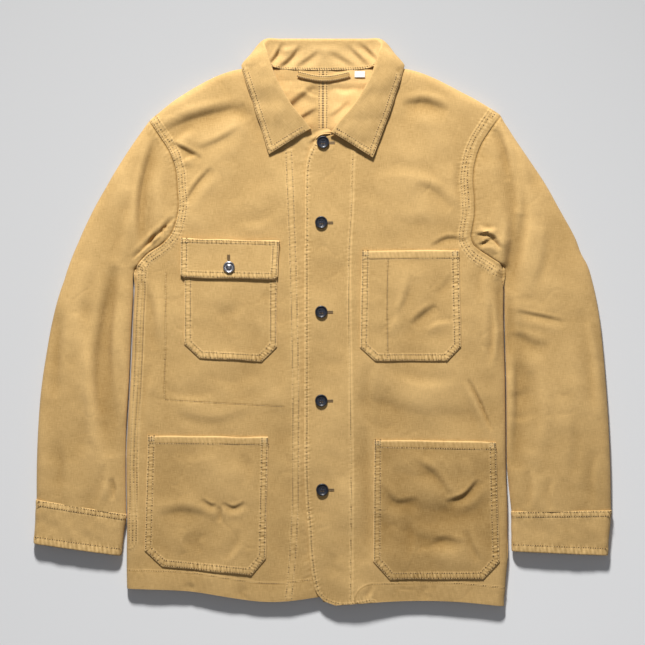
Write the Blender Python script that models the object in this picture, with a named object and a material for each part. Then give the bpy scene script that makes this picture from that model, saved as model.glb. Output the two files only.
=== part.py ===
"""A chore jacket in cotton canvas, buttoned up and laid flat on its back.

+X is the wearer's left, +Y runs from the hem to the collar and +Z is up. The origin is on
the surface under the middle of the jacket. The tables are in millimetres, the meshes in metres.
Every piece of cloth is a wall: a grid of points across its middle, moved out to both faces.
"""

import math

import bmesh
import bpy
import numpy as np

MM = 0.001

# Cloth
CANVAS = 1.5  # thickness of one layer
DOUBLED = 2.4  # thickness of the collar and cuffs, two layers turned and stitched
FLAP = 2.0  # thickness of the pocket flap
GAP = 0.3  # between a piece and the one that it lies on
SEAM_GAP = 0.5  # between two pieces joined at a seam, across the seam line
UNDERARM_GAP = (2.4, 1.4)  # across and up, where the sleeve leaves the body's side

# Heights
FLOOR_LAYER = CANVAS / 2  # middle of the cloth that lies on the surface
FRONT_HEIGHT = 12.5  # middle of the fronts over the surface
LAP = 2.2  # how much higher the left front lies where it laps the right one
LAP_FULL = 30.0  # the lap keeps its full height up to this x
LAP_END = 110.0  # and has gone at this x
ROLL = 11.0  # a folded edge reaches its full height this far in
ROLL_STEPS = (0.0, 1.5, 5.0, ROLL)
NECK_RAISE = 3.6  # the back lies on the collar's fall here
NECK_EASE = 0.5  # and rises this much of it sooner
NECK_EASE_START = 262.0
NECK_RAISE_START = 338.0
NECK_RAISE_FULL = 350.0
NECK_RAISE_WIDE = 124.0
NECK_RAISE_NONE = 200.0
SEAM_RISE = 0.6  # an edge that stands higher than this is joined, and not folded
TURN_SHARE = 0.3  # the most of a piece's width that one rolled edge takes
SLEEVE_CROWN = 3.0
CROWN_NONE = 20.0  # a sleeve this wide is level across
CROWN_FULL = 110.0  # and one this wide has all its crown
CUFF_HEIGHT = 13.5
CUFF_BEND = 8.0  # how far in a cuff's folded edges are round
CUFF_CROWN = 1.2
CHAMFER = 20.0  # cut corner of a pocket
BACK_HEM_LIFT = 3.0  # the back's hem is hidden behind the fronts'
BACK_NECK_ROWS = (366.0, NECK_RAISE_FULL, NECK_RAISE_START, 312.0, 288.0)  # y at the centre
BACK_NECK_SIDE = (79.0, 368.5)  # half way along the back's neckline

# Colours and finishes
KHAKI = (0.50, 0.335, 0.145, 1.0)
DARK_KHAKI = (0.44, 0.29, 0.125, 1.0)
BUTTON_NAVY = (0.012, 0.014, 0.022, 1.0)
BUTTON_STEEL = (0.42, 0.42, 0.43, 1.0)
LABEL_WHITE = (0.80, 0.80, 0.77, 1.0)

# A row for each section of a front, from the shoulder to the hem. Each gives a point on the
# side or armhole, on the pocket's outer and inner lines, and on the neckline or front edge.
# rise says how high the side edge stands: 1 where the sleeve joins it, 0 where it is folded.
PANEL_COLUMNS = "side_x side_y outer_x outer_y inner_x inner_y front_x front_y rise".split()
LEFT_ROWS = [
    (255, 299, 205, 332, 116, 368, 80, 369, 0.0),
    (241, 278, 199, 308, 108, 344, 79, 342, 1.0),
    (226, 252, 192, 279, 98, 316, 67, 314, 1.0),
    (218, 222, 188, 248, 86, 286, 50, 291, 1.0),
    (217, 200, 187, 221, 74, 258, 22, 275, 1.0),
    (219, 176, 189, 192, 65, 228, -7, 270, 1.0),
    (219, 155, 191, 165, 59, 196, -24, 232, 1.0),
    (216, 136, 193, 141, 57, 162, -26, 190, 1.0),
    (214, 121, 195, 122, 56, 132, -26, 148, 1.0),
    (225, 105, 197, 105, 56, 104, -27, 104, 0.9),
    (262, 86, 197, 90, 56, 90, -27, 90, 0.0),
    (261.5, 50, 198, 50, 55, 50, -27, 50, 0.0),
    (261.5, 8, 199, 8, 54, 8, -27, 8, 0.0),
    (262.5, -35, 200, -35, 54, -35, -27, -35, 0.0),
    (263, -56, 203, -56, 55, -56, -27, -56, 0.0),
    (264, -95, 220, -95, 62, -95, -27, -95, 0.0),
    (264, -133, 238, -133, 69, -133, -27, -133, 0.0),
    (264.5, -172, 251, -172, 74, -171, -27, -171, 0.0),
    (265, -215, 252, -215, 74, -215, -27, -215, 0.0),
    (267, -260, 253, -260, 73, -260, -25, -260, 0.0),
    (267.5, -304, 254.5, -304, 73, -304, -21, -304, 0.0),
    (267.5, -347, 255, -347, 73, -347, -18, -347, 0.0),
    (265, -372, 252, -372, 74, -372, -14, -373, 0.0),
    (263.5, -393, 250, -392, 76, -391, -8, -393, 0.0),
    (262.5, -402, 250, -399, 77, -398, 1, -404, 0.0),
    (262.5, -411.5, 250, -409, 78, -406, 22, -411, 0.0),
]
LEFT_CHEST_POCKET = (9, 14)  # first and last row
LEFT_HIP_POCKET = (17, 22)
RIGHT_ROWS = [
    (-252, 291, -205, 329, -116, 368, -80, 369, 0.0),
    (-237, 271, -199, 303, -108, 344, -79, 342, 1.0),
    (-222, 247, -192, 274, -98, 316, -67, 314, 1.0),
    (-213, 221, -188, 244, -86, 286, -50, 291, 1.0),
    (-210, 195, -188, 215, -76, 258, -22, 275, 1.0),
    (-209, 168, -189, 183, -70, 226, 8, 270, 1.0),
    (-213, 147, -193, 155, -68, 186, 18, 232, 1.0),
    (-217, 134, -198, 138, -66, 152, 18, 190, 1.0),
    (-223, 124, -202, 121, -66, 119, 18, 148, 1.0),
    (-236, 111, -202, 106, -66, 105, 18, 104, 0.9),
    (-271, 84, -202, 86, -66, 86, 18, 90, 0.0),
    (-272.5, 60, -202, 64, -66, 64, 18, 64, 0.0),
    (-274.5, 20, -202, 20, -66, 20, 18, 20, 0.0),
    (-276, -32, -201, -32, -67, -32, 18, -32, 0.0),
    (-277, -54, -202, -54, -68, -54, 18, -54, 0.0),
    (-279.5, -95, -222, -95, -71, -95, 18, -95, 0.0),
    (-282, -133, -242, -133, -76, -133, 18, -133, 0.0),
    (-284, -165, -254, -165, -79, -165, 18, -171, 0.0),
    (-285, -210, -256, -210, -80, -210, 18, -215, 0.0),
    (-284.5, -255, -257, -255, -81, -255, 18, -260, 0.0),
    (-284, -298, -258, -298, -82, -298, 18, -304, 0.0),
    (-284.5, -338, -259, -338, -83, -338, 18, -347, 0.0),
    (-284.5, -361, -257, -361, -84, -361, 18, -373, 0.0),
    (-284, -374, -256, -376, -84, -381, 16, -387, 0.0),
    (-284, -386, -256, -387, -84, -404, 10, -396, 0.0),
]
RIGHT_CHEST_POCKET = (9, 14)
RIGHT_HIP_POCKET = (17, 22)
FLAP_ROWS = (8, 11)
FLAP_OVERHANG = 4.0

# A row for each section of a sleeve, from the shoulder's tip to the cuff. The inner points
# down to the underarm are those of the armhole, and the last rows give them here.
LEFT_SLEEVE_OUTER = [
    (263, 290),
    (278, 267),
    (293, 245),
    (306, 226),
    (318, 208),
    (330, 188),
    (341, 168),
    (351, 151),
    (360, 136),
    (370, 117),
    (384, 82),
]
RIGHT_SLEEVE_OUTER = [
    (-260, 281),
    (-277, 257),
    (-292, 234),
    (-305, 213),
    (-317, 192),
    (-330, 169),
    (-340, 149),
    (-348, 132),
    (-354, 118),
    (-361, 102),
    (-376, 61),
]
SLEEVE_COLUMNS = "inner_x inner_y outer_x outer_y".split()
LEFT_SLEEVE_ROWS = [
    (264.5, 55, 391, 55),
    (264.5, 15, 400, 15),
    (265.5, -35, 406, -35),
    (267, -95, 411, -95),
    (267.5, -160, 415, -160),
    (268.5, -215, 417, -215),
    (274.5, -275, 418, -273.5),
]
RIGHT_SLEEVE_ROWS = [
    (-276.5, 42, -382, 42),
    (-278.5, 5, -392, 5),
    (-280.5, -42, -401, -44),
    (-283, -95, -408.5, -95),
    (-286.5, -150, -412.5, -143),
    (-287.5, -210, -415, -200),
    (-286.5, -279, -415.5, -258),
]
# Cuffs: the two ends of the seam with the sleeve, then of the lower edge.
LEFT_CUFF = [(274.5, -276), (418, -274.5), (275, -332), (412.5, -338)]
RIGHT_CUFF = [(-286.5, -280), (-415.5, -259), (-294, -338.5), (-419, -321)]
CUFF_ROWS = 4

# A row for each section of half the collar, from its front end to the centre back. It is
# joined at the seam, turned over at the roll, bulges towards the belly and ends at the edge.
COLLAR_SECTIONS = [
    (-17, 277, 15.6, -18, 281, 19.0, -48, 263, 20.5, -78, 244, 16.0),
    (-28, 281, 15.6, -31, 298, 23.0, -58, 280, 23.0, -83, 261, 16.2),
    (-46, 291, 15.6, -45, 315, 26.0, -70, 299, 25.0, -89, 281, 16.4),
    (-62, 309, 15.6, -58, 336, 28.0, -82, 322, 26.0, -97, 305, 16.6),
    (-74, 334, 15.6, -69, 357, 29.0, -92, 347, 26.0, -106, 333, 16.8),
    (-79, 353, 15.6, -76, 376, 28.0, -100, 370, 25.0, -113.5, 356, 16.4),
    (-80, 366, 13.8, -81, 393, 25.0, -104, 389, 21.0, -118, 372.5, 12.4),
    (-76, 372, 10.0, -85, 404, 20.0, -104, 396, 3.5, -114.5, 373.5, 1.3),
    (-70, 371, 6.0, -80, 410, 16.0, -99, 413, 0.3, -104, 361, 1.22),
    (-55, 368.6, 4.4, -60, 410, 14.5, -70, 419, 0.2, -72, 355, 1.22),
    (-28, 367.6, 4.3, -30, 410, 14.0, -34, 420, 0.2, -36, 354, 1.22),
    (0, 367.2, 4.3, 0, 410, 14.0, 0, 420, 0.2, 0, 354, 1.22),
]
LEFT_END_SHIFT = (-6.0, -5.0)  # the left collar point lies lower and nearer the middle
LEFT_END_WEIGHTS = (1.0, 0.6, 0.3)  # over the first sections
LAP_SECTIONS = 5.0  # the collar is level again after this many sections
STAND_BEND = 3.0  # the collar's roll starts this far from the roll line
STAND_BEND_SHARE = 0.35  # and no further than this part of the stand
FALL_STEPS = (0.08, 0.25, 0.45, 0.7, 1.0)  # along the bent line of the fall

# A row for each of the largest folds: both ends, half width and depth. Minus is a ridge.
FOLD_COLUMNS = "start_x start_y end_x end_y width depth".split()
FOLDS = [
    (-228, 288, -150, 318, 15, 3.0),
    (-197, 186, -163, 222, 13, 1.8),
    (115, 314, 180, 306, 14, 2.6),
    (133, 199, 186, 163, 13, 1.6),
    (-258, 236, -264, 140, 12, 2.8),
    (-305, 58, -324, -67, 18, 3.2),
    (-306, -228, -304, -254, 12, 2.5),
    (256, 262, 264, 180, 12, 2.4),
    (263, 138, 264, 92, 12, 2.4),
    (297, 20, 340, 0, 15, 2.2),
    (383, -6, 404, -141, 13, -1.8),
    (120, -100, 200, -120, 18, 1.5),
]

# Buttons, the hanging loop and the blank label
FRONT_BUTTONS = [(0, 261), (-2.5, 145), (-2.5, 15.5), (-2.5, -113), (-1, -242)]
BUTTON_RADIUS = 9.0
BUTTON_THICK = 3.4
FLAP_BUTTON = (-136, 80)
FLAP_BUTTON_RADIUS = 8.5
FLAP_BUTTON_THICK = 3.6
BUTTON_SIDES = 24
BUTTON_PROFILE = [
    (0.0, 0.0),
    (0.75, 0.0),
    (0.95, 0.18),
    (1.0, 0.5),
    (0.97, 0.85),
    (0.88, 1.0),
    (0.76, 0.95),
    (0.62, 0.6),
    (0.0, 0.5),
]  # from the middle of the underside over the rim, as parts of the radius and thickness
SHARP_ANGLE = 35.0
MERGE = 0.00001
LOOP_ENDS = ((-36, 361), (39, 360.5))
LOOP_SAG = 8.5
LOOP_WIDTH = 9.0
LOOP_THICK = 1.6
LOOP_LIFT = 1.0  # the loop is slack, clear of the cloth behind it
LABEL_BOX = (46, 61, 356.5, 365.5)
LABEL_THICK = 1.0
LABEL_LIFT = 0.8


def clear_scene():
    for obj in list(bpy.data.objects):
        bpy.data.objects.remove(obj, do_unlink=True)


def material(name, colour, roughness, metallic=0.0):
    made = bpy.data.materials.new(name)
    made.use_nodes = True
    shader = made.node_tree.nodes["Principled BSDF"]
    shader.inputs["Base Color"].default_value = colour
    shader.inputs["Roughness"].default_value = roughness
    shader.inputs["Metallic"].default_value = metallic
    return made


def add_object(name, mesh_maker, finish, smooth=False):
    mesh = bpy.data.meshes.new(name)
    mesh_maker.to_mesh(mesh)
    mesh_maker.free()
    mesh.materials.append(finish)
    if smooth:
        mesh.shade_smooth()
        mesh.set_sharp_from_angle(angle=math.radians(SHARP_ANGLE))
    obj = bpy.data.objects.new(name, mesh)
    bpy.context.scene.collection.objects.link(obj)
    return obj


def cell_triangles(rows, cols, turned, wrap):
    """Two triangles for each cell of a grid; turned cells take the other diagonal."""
    made = []
    for i in range(rows - 1):
        for j in range(cols if wrap else cols - 1):
            a, b = i * cols + j, (i + 1) * cols + j
            d, c = i * cols + (j + 1) % cols, (i + 1) * cols + (j + 1) % cols
            if (i, j) in turned:
                made += [(a, b, d), (b, c, d)]
            else:
                made += [(a, b, c), (a, c, d)]
    return made


def rim_edges(triangles):
    """The edges that only one triangle has, in that triangle's direction."""
    edges = [(t[k], t[(k + 1) % 3]) for t in triangles for k in range(3)]
    known = set(edges)
    return [edge for edge in edges if edge[::-1] not in known]


def wall(name, lower, upper, finish, turned=(), cut=(), wrap=False):
    """A closed wall between two grids of points in mm. Corners named in cut are left off."""
    rows, cols = lower.shape[:2]
    triangles = cell_triangles(rows, cols, set(turned), wrap)
    gone = {(i % rows) * cols + j % cols for i, j in cut}
    triangles = [t for t in triangles if not gone & set(t)]
    used = sorted({corner for t in triangles for corner in t})
    maker = bmesh.new()
    faces = {}
    for level, grid in enumerate((lower, upper)):
        for index in used:
            point = grid[index // cols, index % cols] * MM
            faces[level, index] = maker.verts.new(point)
    for t in triangles:
        maker.faces.new([faces[1, corner] for corner in t])
        maker.faces.new([faces[0, corner] for corner in reversed(t)])
    for a, b in rim_edges(triangles):
        maker.faces.new([faces[1, b], faces[1, a], faces[0, a]])
        maker.faces.new([faces[1, b], faces[0, a], faces[0, b]])
    bmesh.ops.recalc_face_normals(maker, faces=maker.faces)
    return add_object(name, maker, finish)


def unit(vectors):
    return vectors / np.linalg.norm(vectors, axis=-1, keepdims=True)


def grid_normals(grid, wrap=False):
    """Unit normals at a grid's points, from the directions to their neighbours."""
    down = np.gradient(grid, axis=0)
    if wrap:
        across = np.roll(grid, -1, axis=1) - np.roll(grid, 1, axis=1)
    else:
        across = np.gradient(grid, axis=1)
    normals = unit(np.cross(down, across))
    if not wrap and normals[..., 2].mean() < 0:
        normals = -normals
    return normals


def moved_out(grid, normals, distance):
    return grid + normals * distance


def quarter_round(distance):
    """Rise from 0 at a folded edge to 1 at ROLL mm in, as a quarter of an ellipse."""
    left = np.clip(1.0 - np.asarray(distance, float) / ROLL, 0.0, 1.0)
    return np.sqrt(1.0 - left**2)


def ramp(value, start, end):
    return np.clip((value - start) / (end - start), 0.0, 1.0)


def back_height(x, y):
    """Middle of the back's cloth: on the surface, or on the collar's fall near the neck."""
    eased = NECK_EASE * ramp(y, NECK_EASE_START, NECK_RAISE_START)
    high = (NECK_RAISE - NECK_EASE) * ramp(y, NECK_RAISE_START, NECK_RAISE_FULL)
    wide = ramp(np.abs(x), NECK_RAISE_NONE, NECK_RAISE_WIDE)
    return FLOOR_LAYER + (eased + high) * wide


def fold_depth(x, y):
    """How far the folds lower the cloth at each point."""
    depth = np.zeros_like(x)
    for row in FOLDS:
        fold = dict(zip(FOLD_COLUMNS, row))
        start = np.array([fold["start_x"], fold["start_y"]], float)
        run = np.array([fold["end_x"], fold["end_y"]], float) - start
        there = np.stack([x, y], axis=-1) - start
        along = np.clip(there @ run / (run @ run), 0.0, 1.0)
        away = np.linalg.norm(there - along[..., None] * run, axis=-1)
        depth += fold["depth"] * np.exp(-((away / fold["width"]) ** 2))
    return depth


def table_points(table, columns, name):
    start = columns.index(name + "_x")
    return np.array(table, float)[:, start : start + 2]


def with_rolled_rows(lines):
    """Adds rows just inside the first one, so that the cloth can roll down to that edge."""
    made = []
    for line in lines:
        step = unit(line[1] - line[0])
        rolled = [line[0] + step * distance for distance in ROLL_STEPS]
        made.append(np.concatenate([rolled, line[1:]]))
    return made


def between(start, end, fractions):
    fractions = np.asarray(fractions, float)[None, :, None]
    return start[:, None] + (end - start)[:, None] * fractions


def from_edge(start, end, distances):
    """Points at the given distances from start towards end, row by row."""
    length = np.linalg.norm(end - start, axis=1)
    reach = np.minimum(1.0, TURN_SHARE * length / ROLL)
    steps = np.outer(reach, distances)
    return start[:, None] + unit(end - start)[:, None] * steps[..., None]


def front_plan(table):
    """The plan of a front: a grid of (x, y), and how high each point has risen, 0 to 1."""
    names = ("side", "outer", "inner", "front")
    lines = [table_points(table, PANEL_COLUMNS, name) for name in names]
    side, outer, inner, front = with_rolled_rows(lines)
    rise = np.array(table, float)[1:, PANEL_COLUMNS.index("rise")]
    rise = np.concatenate([quarter_round(ROLL_STEPS), rise])
    chamfer = CHAMFER / np.linalg.norm(inner - outer, axis=1).mean()
    plan = np.concatenate(
        [
            side[:, None] + unit(outer - side)[:, None] * np.array(ROLL_STEPS)[None, :, None],
            between(outer, inner, (0.0, chamfer, 0.5, 1.0 - chamfer, 1.0)),
            between(inner, front, np.linspace(0.0, 1.0, 4)[1:]),
        ],
        axis=1,
    )
    lift = np.ones(plan.shape[:2])
    rolled = quarter_round(ROLL_STEPS)
    lift[:, :4] = rise[:, None] + (1.0 - rise[:, None]) * rolled[None, :]
    shoulder = np.ones(len(plan))
    shoulder[:4] = rolled
    return plan, np.minimum(lift, shoulder[:, None])


def front_middle(table, lap):
    """The middle surface of a front's cloth."""
    plan, lift = front_plan(table)
    x, y = plan[..., 0], plan[..., 1]
    low = back_height(x, y) + CANVAS + GAP
    high = FRONT_HEIGHT + lap * ramp(x, LAP_END, LAP_FULL) - fold_depth(x, y)
    return np.dstack([x, y, low + (high - low) * lift])


def front_normals(middle, lift):
    """Normals of a front, upright along the armhole so that both sides of its seam meet."""
    normals = grid_normals(middle)
    seam = lift[:, 0] > SEAM_RISE
    normals[seam, 0] = (0.0, 0.0, 1.0)
    return normals


POCKET_COLS = (4, 8)  # the outer and the inner line, in a front's grid


def pocket_corner_cells(rows):
    """The bottom corner cells of a pocket in its front's grid, where the diagonal turns."""
    return [(rows[1] - 1, POCKET_COLS[1] - 1)]


def patch(name, middle, normals, rows, offset, thickness, finish):
    """A pocket: the panel's own points, moved out, with its lower corners cut."""
    part = (slice(rows[0], rows[1] + 1), slice(POCKET_COLS[0], POCKET_COLS[1] + 1))
    under = moved_out(middle[part], normals[part], offset)
    over = moved_out(middle[part], normals[part], offset + thickness)
    height, width = rows[1] - rows[0], POCKET_COLS[1] - POCKET_COLS[0]
    turned = [(height - 1, width - 1)]
    return wall(name, under, over, finish, turned=turned, cut=[(-1, 0), (-1, -1)])


def in_grid(rows):
    """Table rows as rows of the grid, which has the rolled rows too."""
    return tuple(row + len(ROLL_STEPS) - 1 for row in rows)


def build_front(name, table, lap, pockets, finish):
    """A front and the patch pockets on it. Returns its middle surface and normals."""
    middle = front_middle(table, lap)
    normals = front_normals(middle, front_plan(table)[1])
    turned = []
    for _, rows in pockets:
        turned += pocket_corner_cells(in_grid(rows))
    half = CANVAS / 2
    lower, upper = moved_out(middle, normals, -half), moved_out(middle, normals, half)
    wall(name, lower, upper, finish, turned=turned)
    for pocket_name, rows in pockets:
        patch(pocket_name, middle, normals, in_grid(rows), half + GAP, CANVAS, finish)
    return middle, normals


def build_flap(middle, normals, finish):
    """The flap over the right chest pocket, a little wider than the pocket."""
    first, last = in_grid(FLAP_ROWS)
    part = (slice(first, last + 1), slice(POCKET_COLS[0], POCKET_COLS[1] + 1))
    points, out = middle[part].copy(), normals[part]
    points[:, 0] += unit(points[:, 0] - points[:, 1]) * FLAP_OVERHANG
    points[:, -1] += unit(points[:, -1] - points[:, -2]) * FLAP_OVERHANG
    offset = CANVAS / 2 + GAP + CANVAS + GAP
    under = moved_out(points, out, offset)
    over = moved_out(points, out, offset + FLAP)
    wall("pocket_flap", under, over, finish)
    return over


def build_back(name, table, sign, finish):
    """Half of the back, flat on the surface, from the side to the centre back seam."""
    names = ("side", "outer", "inner", "front")
    side, outer, inner, front = (table_points(table, PANEL_COLUMNS, n) for n in names)
    centre = np.column_stack([np.full(len(side), sign * SEAM_GAP / 2), front[:, 1]])
    centre[: len(BACK_NECK_ROWS), 1] = BACK_NECK_ROWS
    hollow = (inner + centre) / 2
    hollow[0] = (sign * BACK_NECK_SIDE[0], BACK_NECK_SIDE[1])
    for line in (inner, hollow):
        line[1:3, 1] = (NECK_RAISE_FULL, NECK_RAISE_START)
    plan = np.stack([side, outer, inner, hollow, centre], axis=1)
    plan[-1, :, 1] += BACK_HEM_LIFT
    x, y = plan[..., 0], plan[..., 1]
    middle = np.dstack([x, y, back_height(x, y)])
    up = np.zeros_like(middle)
    up[..., 2] = 1.0
    half = CANVAS / 2
    wall(name, moved_out(middle, up, -half), moved_out(middle, up, half), finish)


def seam_side(points, sign):
    """The armhole's points, moved off the seam line into the sleeve."""
    along = unit(np.gradient(points, axis=0))
    into = np.column_stack([-along[:, 1], along[:, 0]]) * sign
    return points + into * SEAM_GAP


def sleeve_lines(front_table, outer_points, table, sign):
    """The inner line, the outer line and the rise of the inner edge, with rolled rows."""
    joined = len(outer_points)
    armhole = table_points(front_table, PANEL_COLUMNS, "side")[:joined]
    inner = seam_side(armhole, sign)
    inner[-1] = armhole[-1] + np.array(UNDERARM_GAP) * (sign, 1.0)
    inner = np.concatenate([inner, table_points(table, SLEEVE_COLUMNS, "inner")])
    outer = np.concatenate([outer_points, table_points(table, SLEEVE_COLUMNS, "outer")])
    inner, outer = with_rolled_rows([inner, outer])
    rise = np.zeros(len(inner))
    known = np.array(front_table, float)[:joined, PANEL_COLUMNS.index("rise")]
    extra = len(ROLL_STEPS) - 1
    rise[:extra] = quarter_round(ROLL_STEPS[:-1])
    rise[extra] = 1.0
    rise[extra + 1 : extra + joined] = known[1:]
    return inner, outer, rise


def build_sleeve(side_name, front_table, outer_points, table, sign, finish):
    """A sleeve: the cloth on top, crowned and rolled at both edges, and that underneath."""
    inner, outer, rise = sleeve_lines(front_table, outer_points, table, sign)
    near_outer = from_edge(outer, inner, ROLL_STEPS)
    near_inner = from_edge(inner, outer, ROLL_STEPS)[:, ::-1]
    start, end = near_outer[:, -1], near_inner[:, 0]
    middle_part = between(start, end, np.linspace(0.0, 1.0, 5)[1:-1])
    plan = np.concatenate([near_outer, middle_part, near_inner], axis=1)
    x, y = plan[..., 0], plan[..., 1]
    rolled = quarter_round(ROLL_STEPS)
    lift = np.ones(plan.shape[:2])
    lift[:, :4] = rolled
    lift[:, -4:] = (rise[:, None] + (1.0 - rise[:, None]) * rolled[None, :])[:, ::-1]
    shoulder = np.ones(len(plan))
    shoulder[:4] = rolled
    lift = np.minimum(lift, shoulder[:, None])
    width = np.linalg.norm(outer - inner, axis=1)
    across = np.linalg.norm(plan - outer[:, None], axis=2) / width[:, None]
    fade = ramp(width, CROWN_NONE, CROWN_FULL)[:, None]
    low = back_height(x, y) + CANVAS + GAP
    high = FRONT_HEIGHT + SLEEVE_CROWN * np.sin(np.pi * across) * fade - fold_depth(x, y)
    middle = np.dstack([x, y, low + (high - low) * lift])
    normals = grid_normals(middle)
    seam = rise > SEAM_RISE
    normals[seam, -1] = (0.0, 0.0, 1.0)
    half = CANVAS / 2
    lower, upper = moved_out(middle, normals, -half), moved_out(middle, normals, half)
    wall(f"sleeve_{side_name}_top", lower, upper, finish)
    flat = between(outer, inner, np.linspace(0.0, 1.0, 4))
    under = np.dstack([flat, np.zeros(flat.shape[:2])])
    over = np.dstack([flat, np.full(flat.shape[:2], CANVAS)])
    wall(f"sleeve_{side_name}_under", under, over, finish)


def cuff_profile():
    """The middle of a cuff's ring, as (fraction across, inset from the edge in mm, height)."""
    low, high = DOUBLED / 2, CUFF_HEIGHT
    turns = np.linspace(-math.pi / 2, math.pi / 2, 7)
    inset = CUFF_BEND * (1.0 - np.cos(turns))
    height = (low + high) / 2 + (high - low) / 2 * np.sin(turns)
    outer = [(0.0, i, h) for i, h in zip(inset, height)]
    across = (0.3, 0.5, 0.7)
    top = [(t, 0.0, high + CUFF_CROWN * math.sin(math.pi * t)) for t in across]
    inner = [(1.0, -i, h) for i, h in zip(inset[::-1], height[::-1])]
    bottom = [(t, 0.0, low) for t in across[::-1]]
    return np.array(outer + top + inner + bottom)


def build_cuff(name, corners, finish):
    """A cuff: a flattened ring of doubled cloth, open at both ends."""
    inner_top, outer_top, inner_end, outer_end = (np.array(c, float) for c in corners)
    profile = cuff_profile()
    rows = []
    for down in np.linspace(0.0, 1.0, CUFF_ROWS):
        outer = outer_top + (outer_end - outer_top) * down
        inner = inner_top + (inner_end - inner_top) * down
        across = unit(inner - outer)
        flat = outer + (inner - outer) * profile[:, :1] + across * profile[:, 1:2]
        rows.append(np.column_stack([flat, profile[:, 2]]))
    middle = np.stack(rows)
    normals = grid_normals(middle, wrap=True)
    towards = middle - middle.mean(axis=1, keepdims=True)
    if (normals * towards).sum() < 0:
        normals = -normals
    half = DOUBLED / 2
    lower, upper = moved_out(middle, normals, -half), moved_out(middle, normals, half)
    wall(name, lower, upper, finish, wrap=True)


def collar_sections():
    """All the collar's sections, from the right end round the back to the left end."""
    half = np.array(COLLAR_SECTIONS, float).reshape(-1, 4, 3)
    other = half[:-1].copy()
    other[..., 0] *= -1
    for index, weight in enumerate(LEFT_END_WEIGHTS):
        other[index, :, :2] += np.array(LEFT_END_SHIFT) * weight
    fade = np.clip(1.0 - np.arange(len(other)) / LAP_SECTIONS, 0.0, 1.0)
    other[..., 2] += LAP * fade[:, None]
    return np.concatenate([half, other[::-1]])


def collar_curve(seam, roll, belly, edge):
    """One section of the collar: the stand, a rounded roll, and the fall as a bent line."""
    stand = roll - seam
    fall = belly - roll
    bend = min(STAND_BEND, STAND_BEND_SHARE * np.linalg.norm(stand))
    before = roll - unit(stand) * bend
    after = roll + unit(fall) * bend
    crown = (before + after) / 4 + roll / 2
    points = [seam, seam + stand * 0.5, before, crown]
    for t in FALL_STEPS:
        points.append((1 - t) ** 2 * roll + 2 * t * (1 - t) * belly + t**2 * edge)
    return np.array(points)


def build_collar(finish):
    middle = np.stack([collar_curve(*section) for section in collar_sections()])
    normals = grid_normals(middle)
    half = DOUBLED / 2
    lower, upper = moved_out(middle, normals, -half), moved_out(middle, normals, half)
    wall("collar", lower, upper, finish)


def build_button(name, centre, base, radius, thick, finish):
    """A turned button with a raised rim and a dished middle."""
    maker = bmesh.new()
    corners = []
    for across, up in BUTTON_PROFILE:
        point = (centre[0] + across * radius, centre[1], base + up * thick)
        corners.append(maker.verts.new([value * MM for value in point]))
    for a, b in zip(corners, corners[1:]):
        maker.edges.new((a, b))
    bmesh.ops.spin(
        maker,
        geom=maker.verts[:] + maker.edges[:],
        cent=(centre[0] * MM, centre[1] * MM, 0.0),
        axis=(0.0, 0.0, 1.0),
        angle=2 * math.pi,
        steps=BUTTON_SIDES,
        use_merge=True,
    )
    bmesh.ops.remove_doubles(maker, verts=maker.verts, dist=MERGE)
    bmesh.ops.recalc_face_normals(maker, faces=maker.faces)
    add_object(name, maker, finish, smooth=True)


def build_buttons(dark, steel, flap_top):
    base = FRONT_HEIGHT + LAP + CANVAS / 2 + GAP
    for number, centre in enumerate(FRONT_BUTTONS, start=1):
        build_button(f"button_{number}", centre, base, BUTTON_RADIUS, BUTTON_THICK, dark)
    base = flap_top + GAP
    build_button(
        "flap_button", FLAP_BUTTON, base, FLAP_BUTTON_RADIUS, FLAP_BUTTON_THICK, steel
    )


def strip_on_back(name, plan, lift, thick, finish):
    """A strip that lies on the inside of the back, near the neck."""
    x, y = plan[..., 0], plan[..., 1]
    base = np.dstack([x, y, back_height(x, y) + CANVAS / 2 + GAP + lift])
    up = np.zeros_like(base)
    up[..., 2] = 1.0
    wall(name, base, moved_out(base, up, thick), finish)


def build_loop(finish):
    """The hanging loop, slack between its two ends."""
    along = np.linspace(0.0, 1.0, 11)[:, None]
    start, end = (np.array(point, float) for point in LOOP_ENDS)
    centre = start + (end - start) * along
    centre[:, 1] -= LOOP_SAG * np.sin(math.pi * along[:, 0])
    direction = unit(np.gradient(centre, axis=0))
    sideways = np.column_stack([-direction[:, 1], direction[:, 0]]) * LOOP_WIDTH / 2
    plan = np.stack([centre + sideways, centre, centre - sideways], axis=1)
    strip_on_back("hanger_loop", plan, LOOP_LIFT, LOOP_THICK, finish)


def build_label(finish):
    left, right, bottom, top = LABEL_BOX
    xs, ys = np.linspace(left, right, 3), np.linspace(top, bottom, 3)
    plan = np.stack(np.meshgrid(xs, ys), axis=-1)
    strip_on_back("neck_label", plan, LABEL_LIFT, LABEL_THICK, finish)


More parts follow.
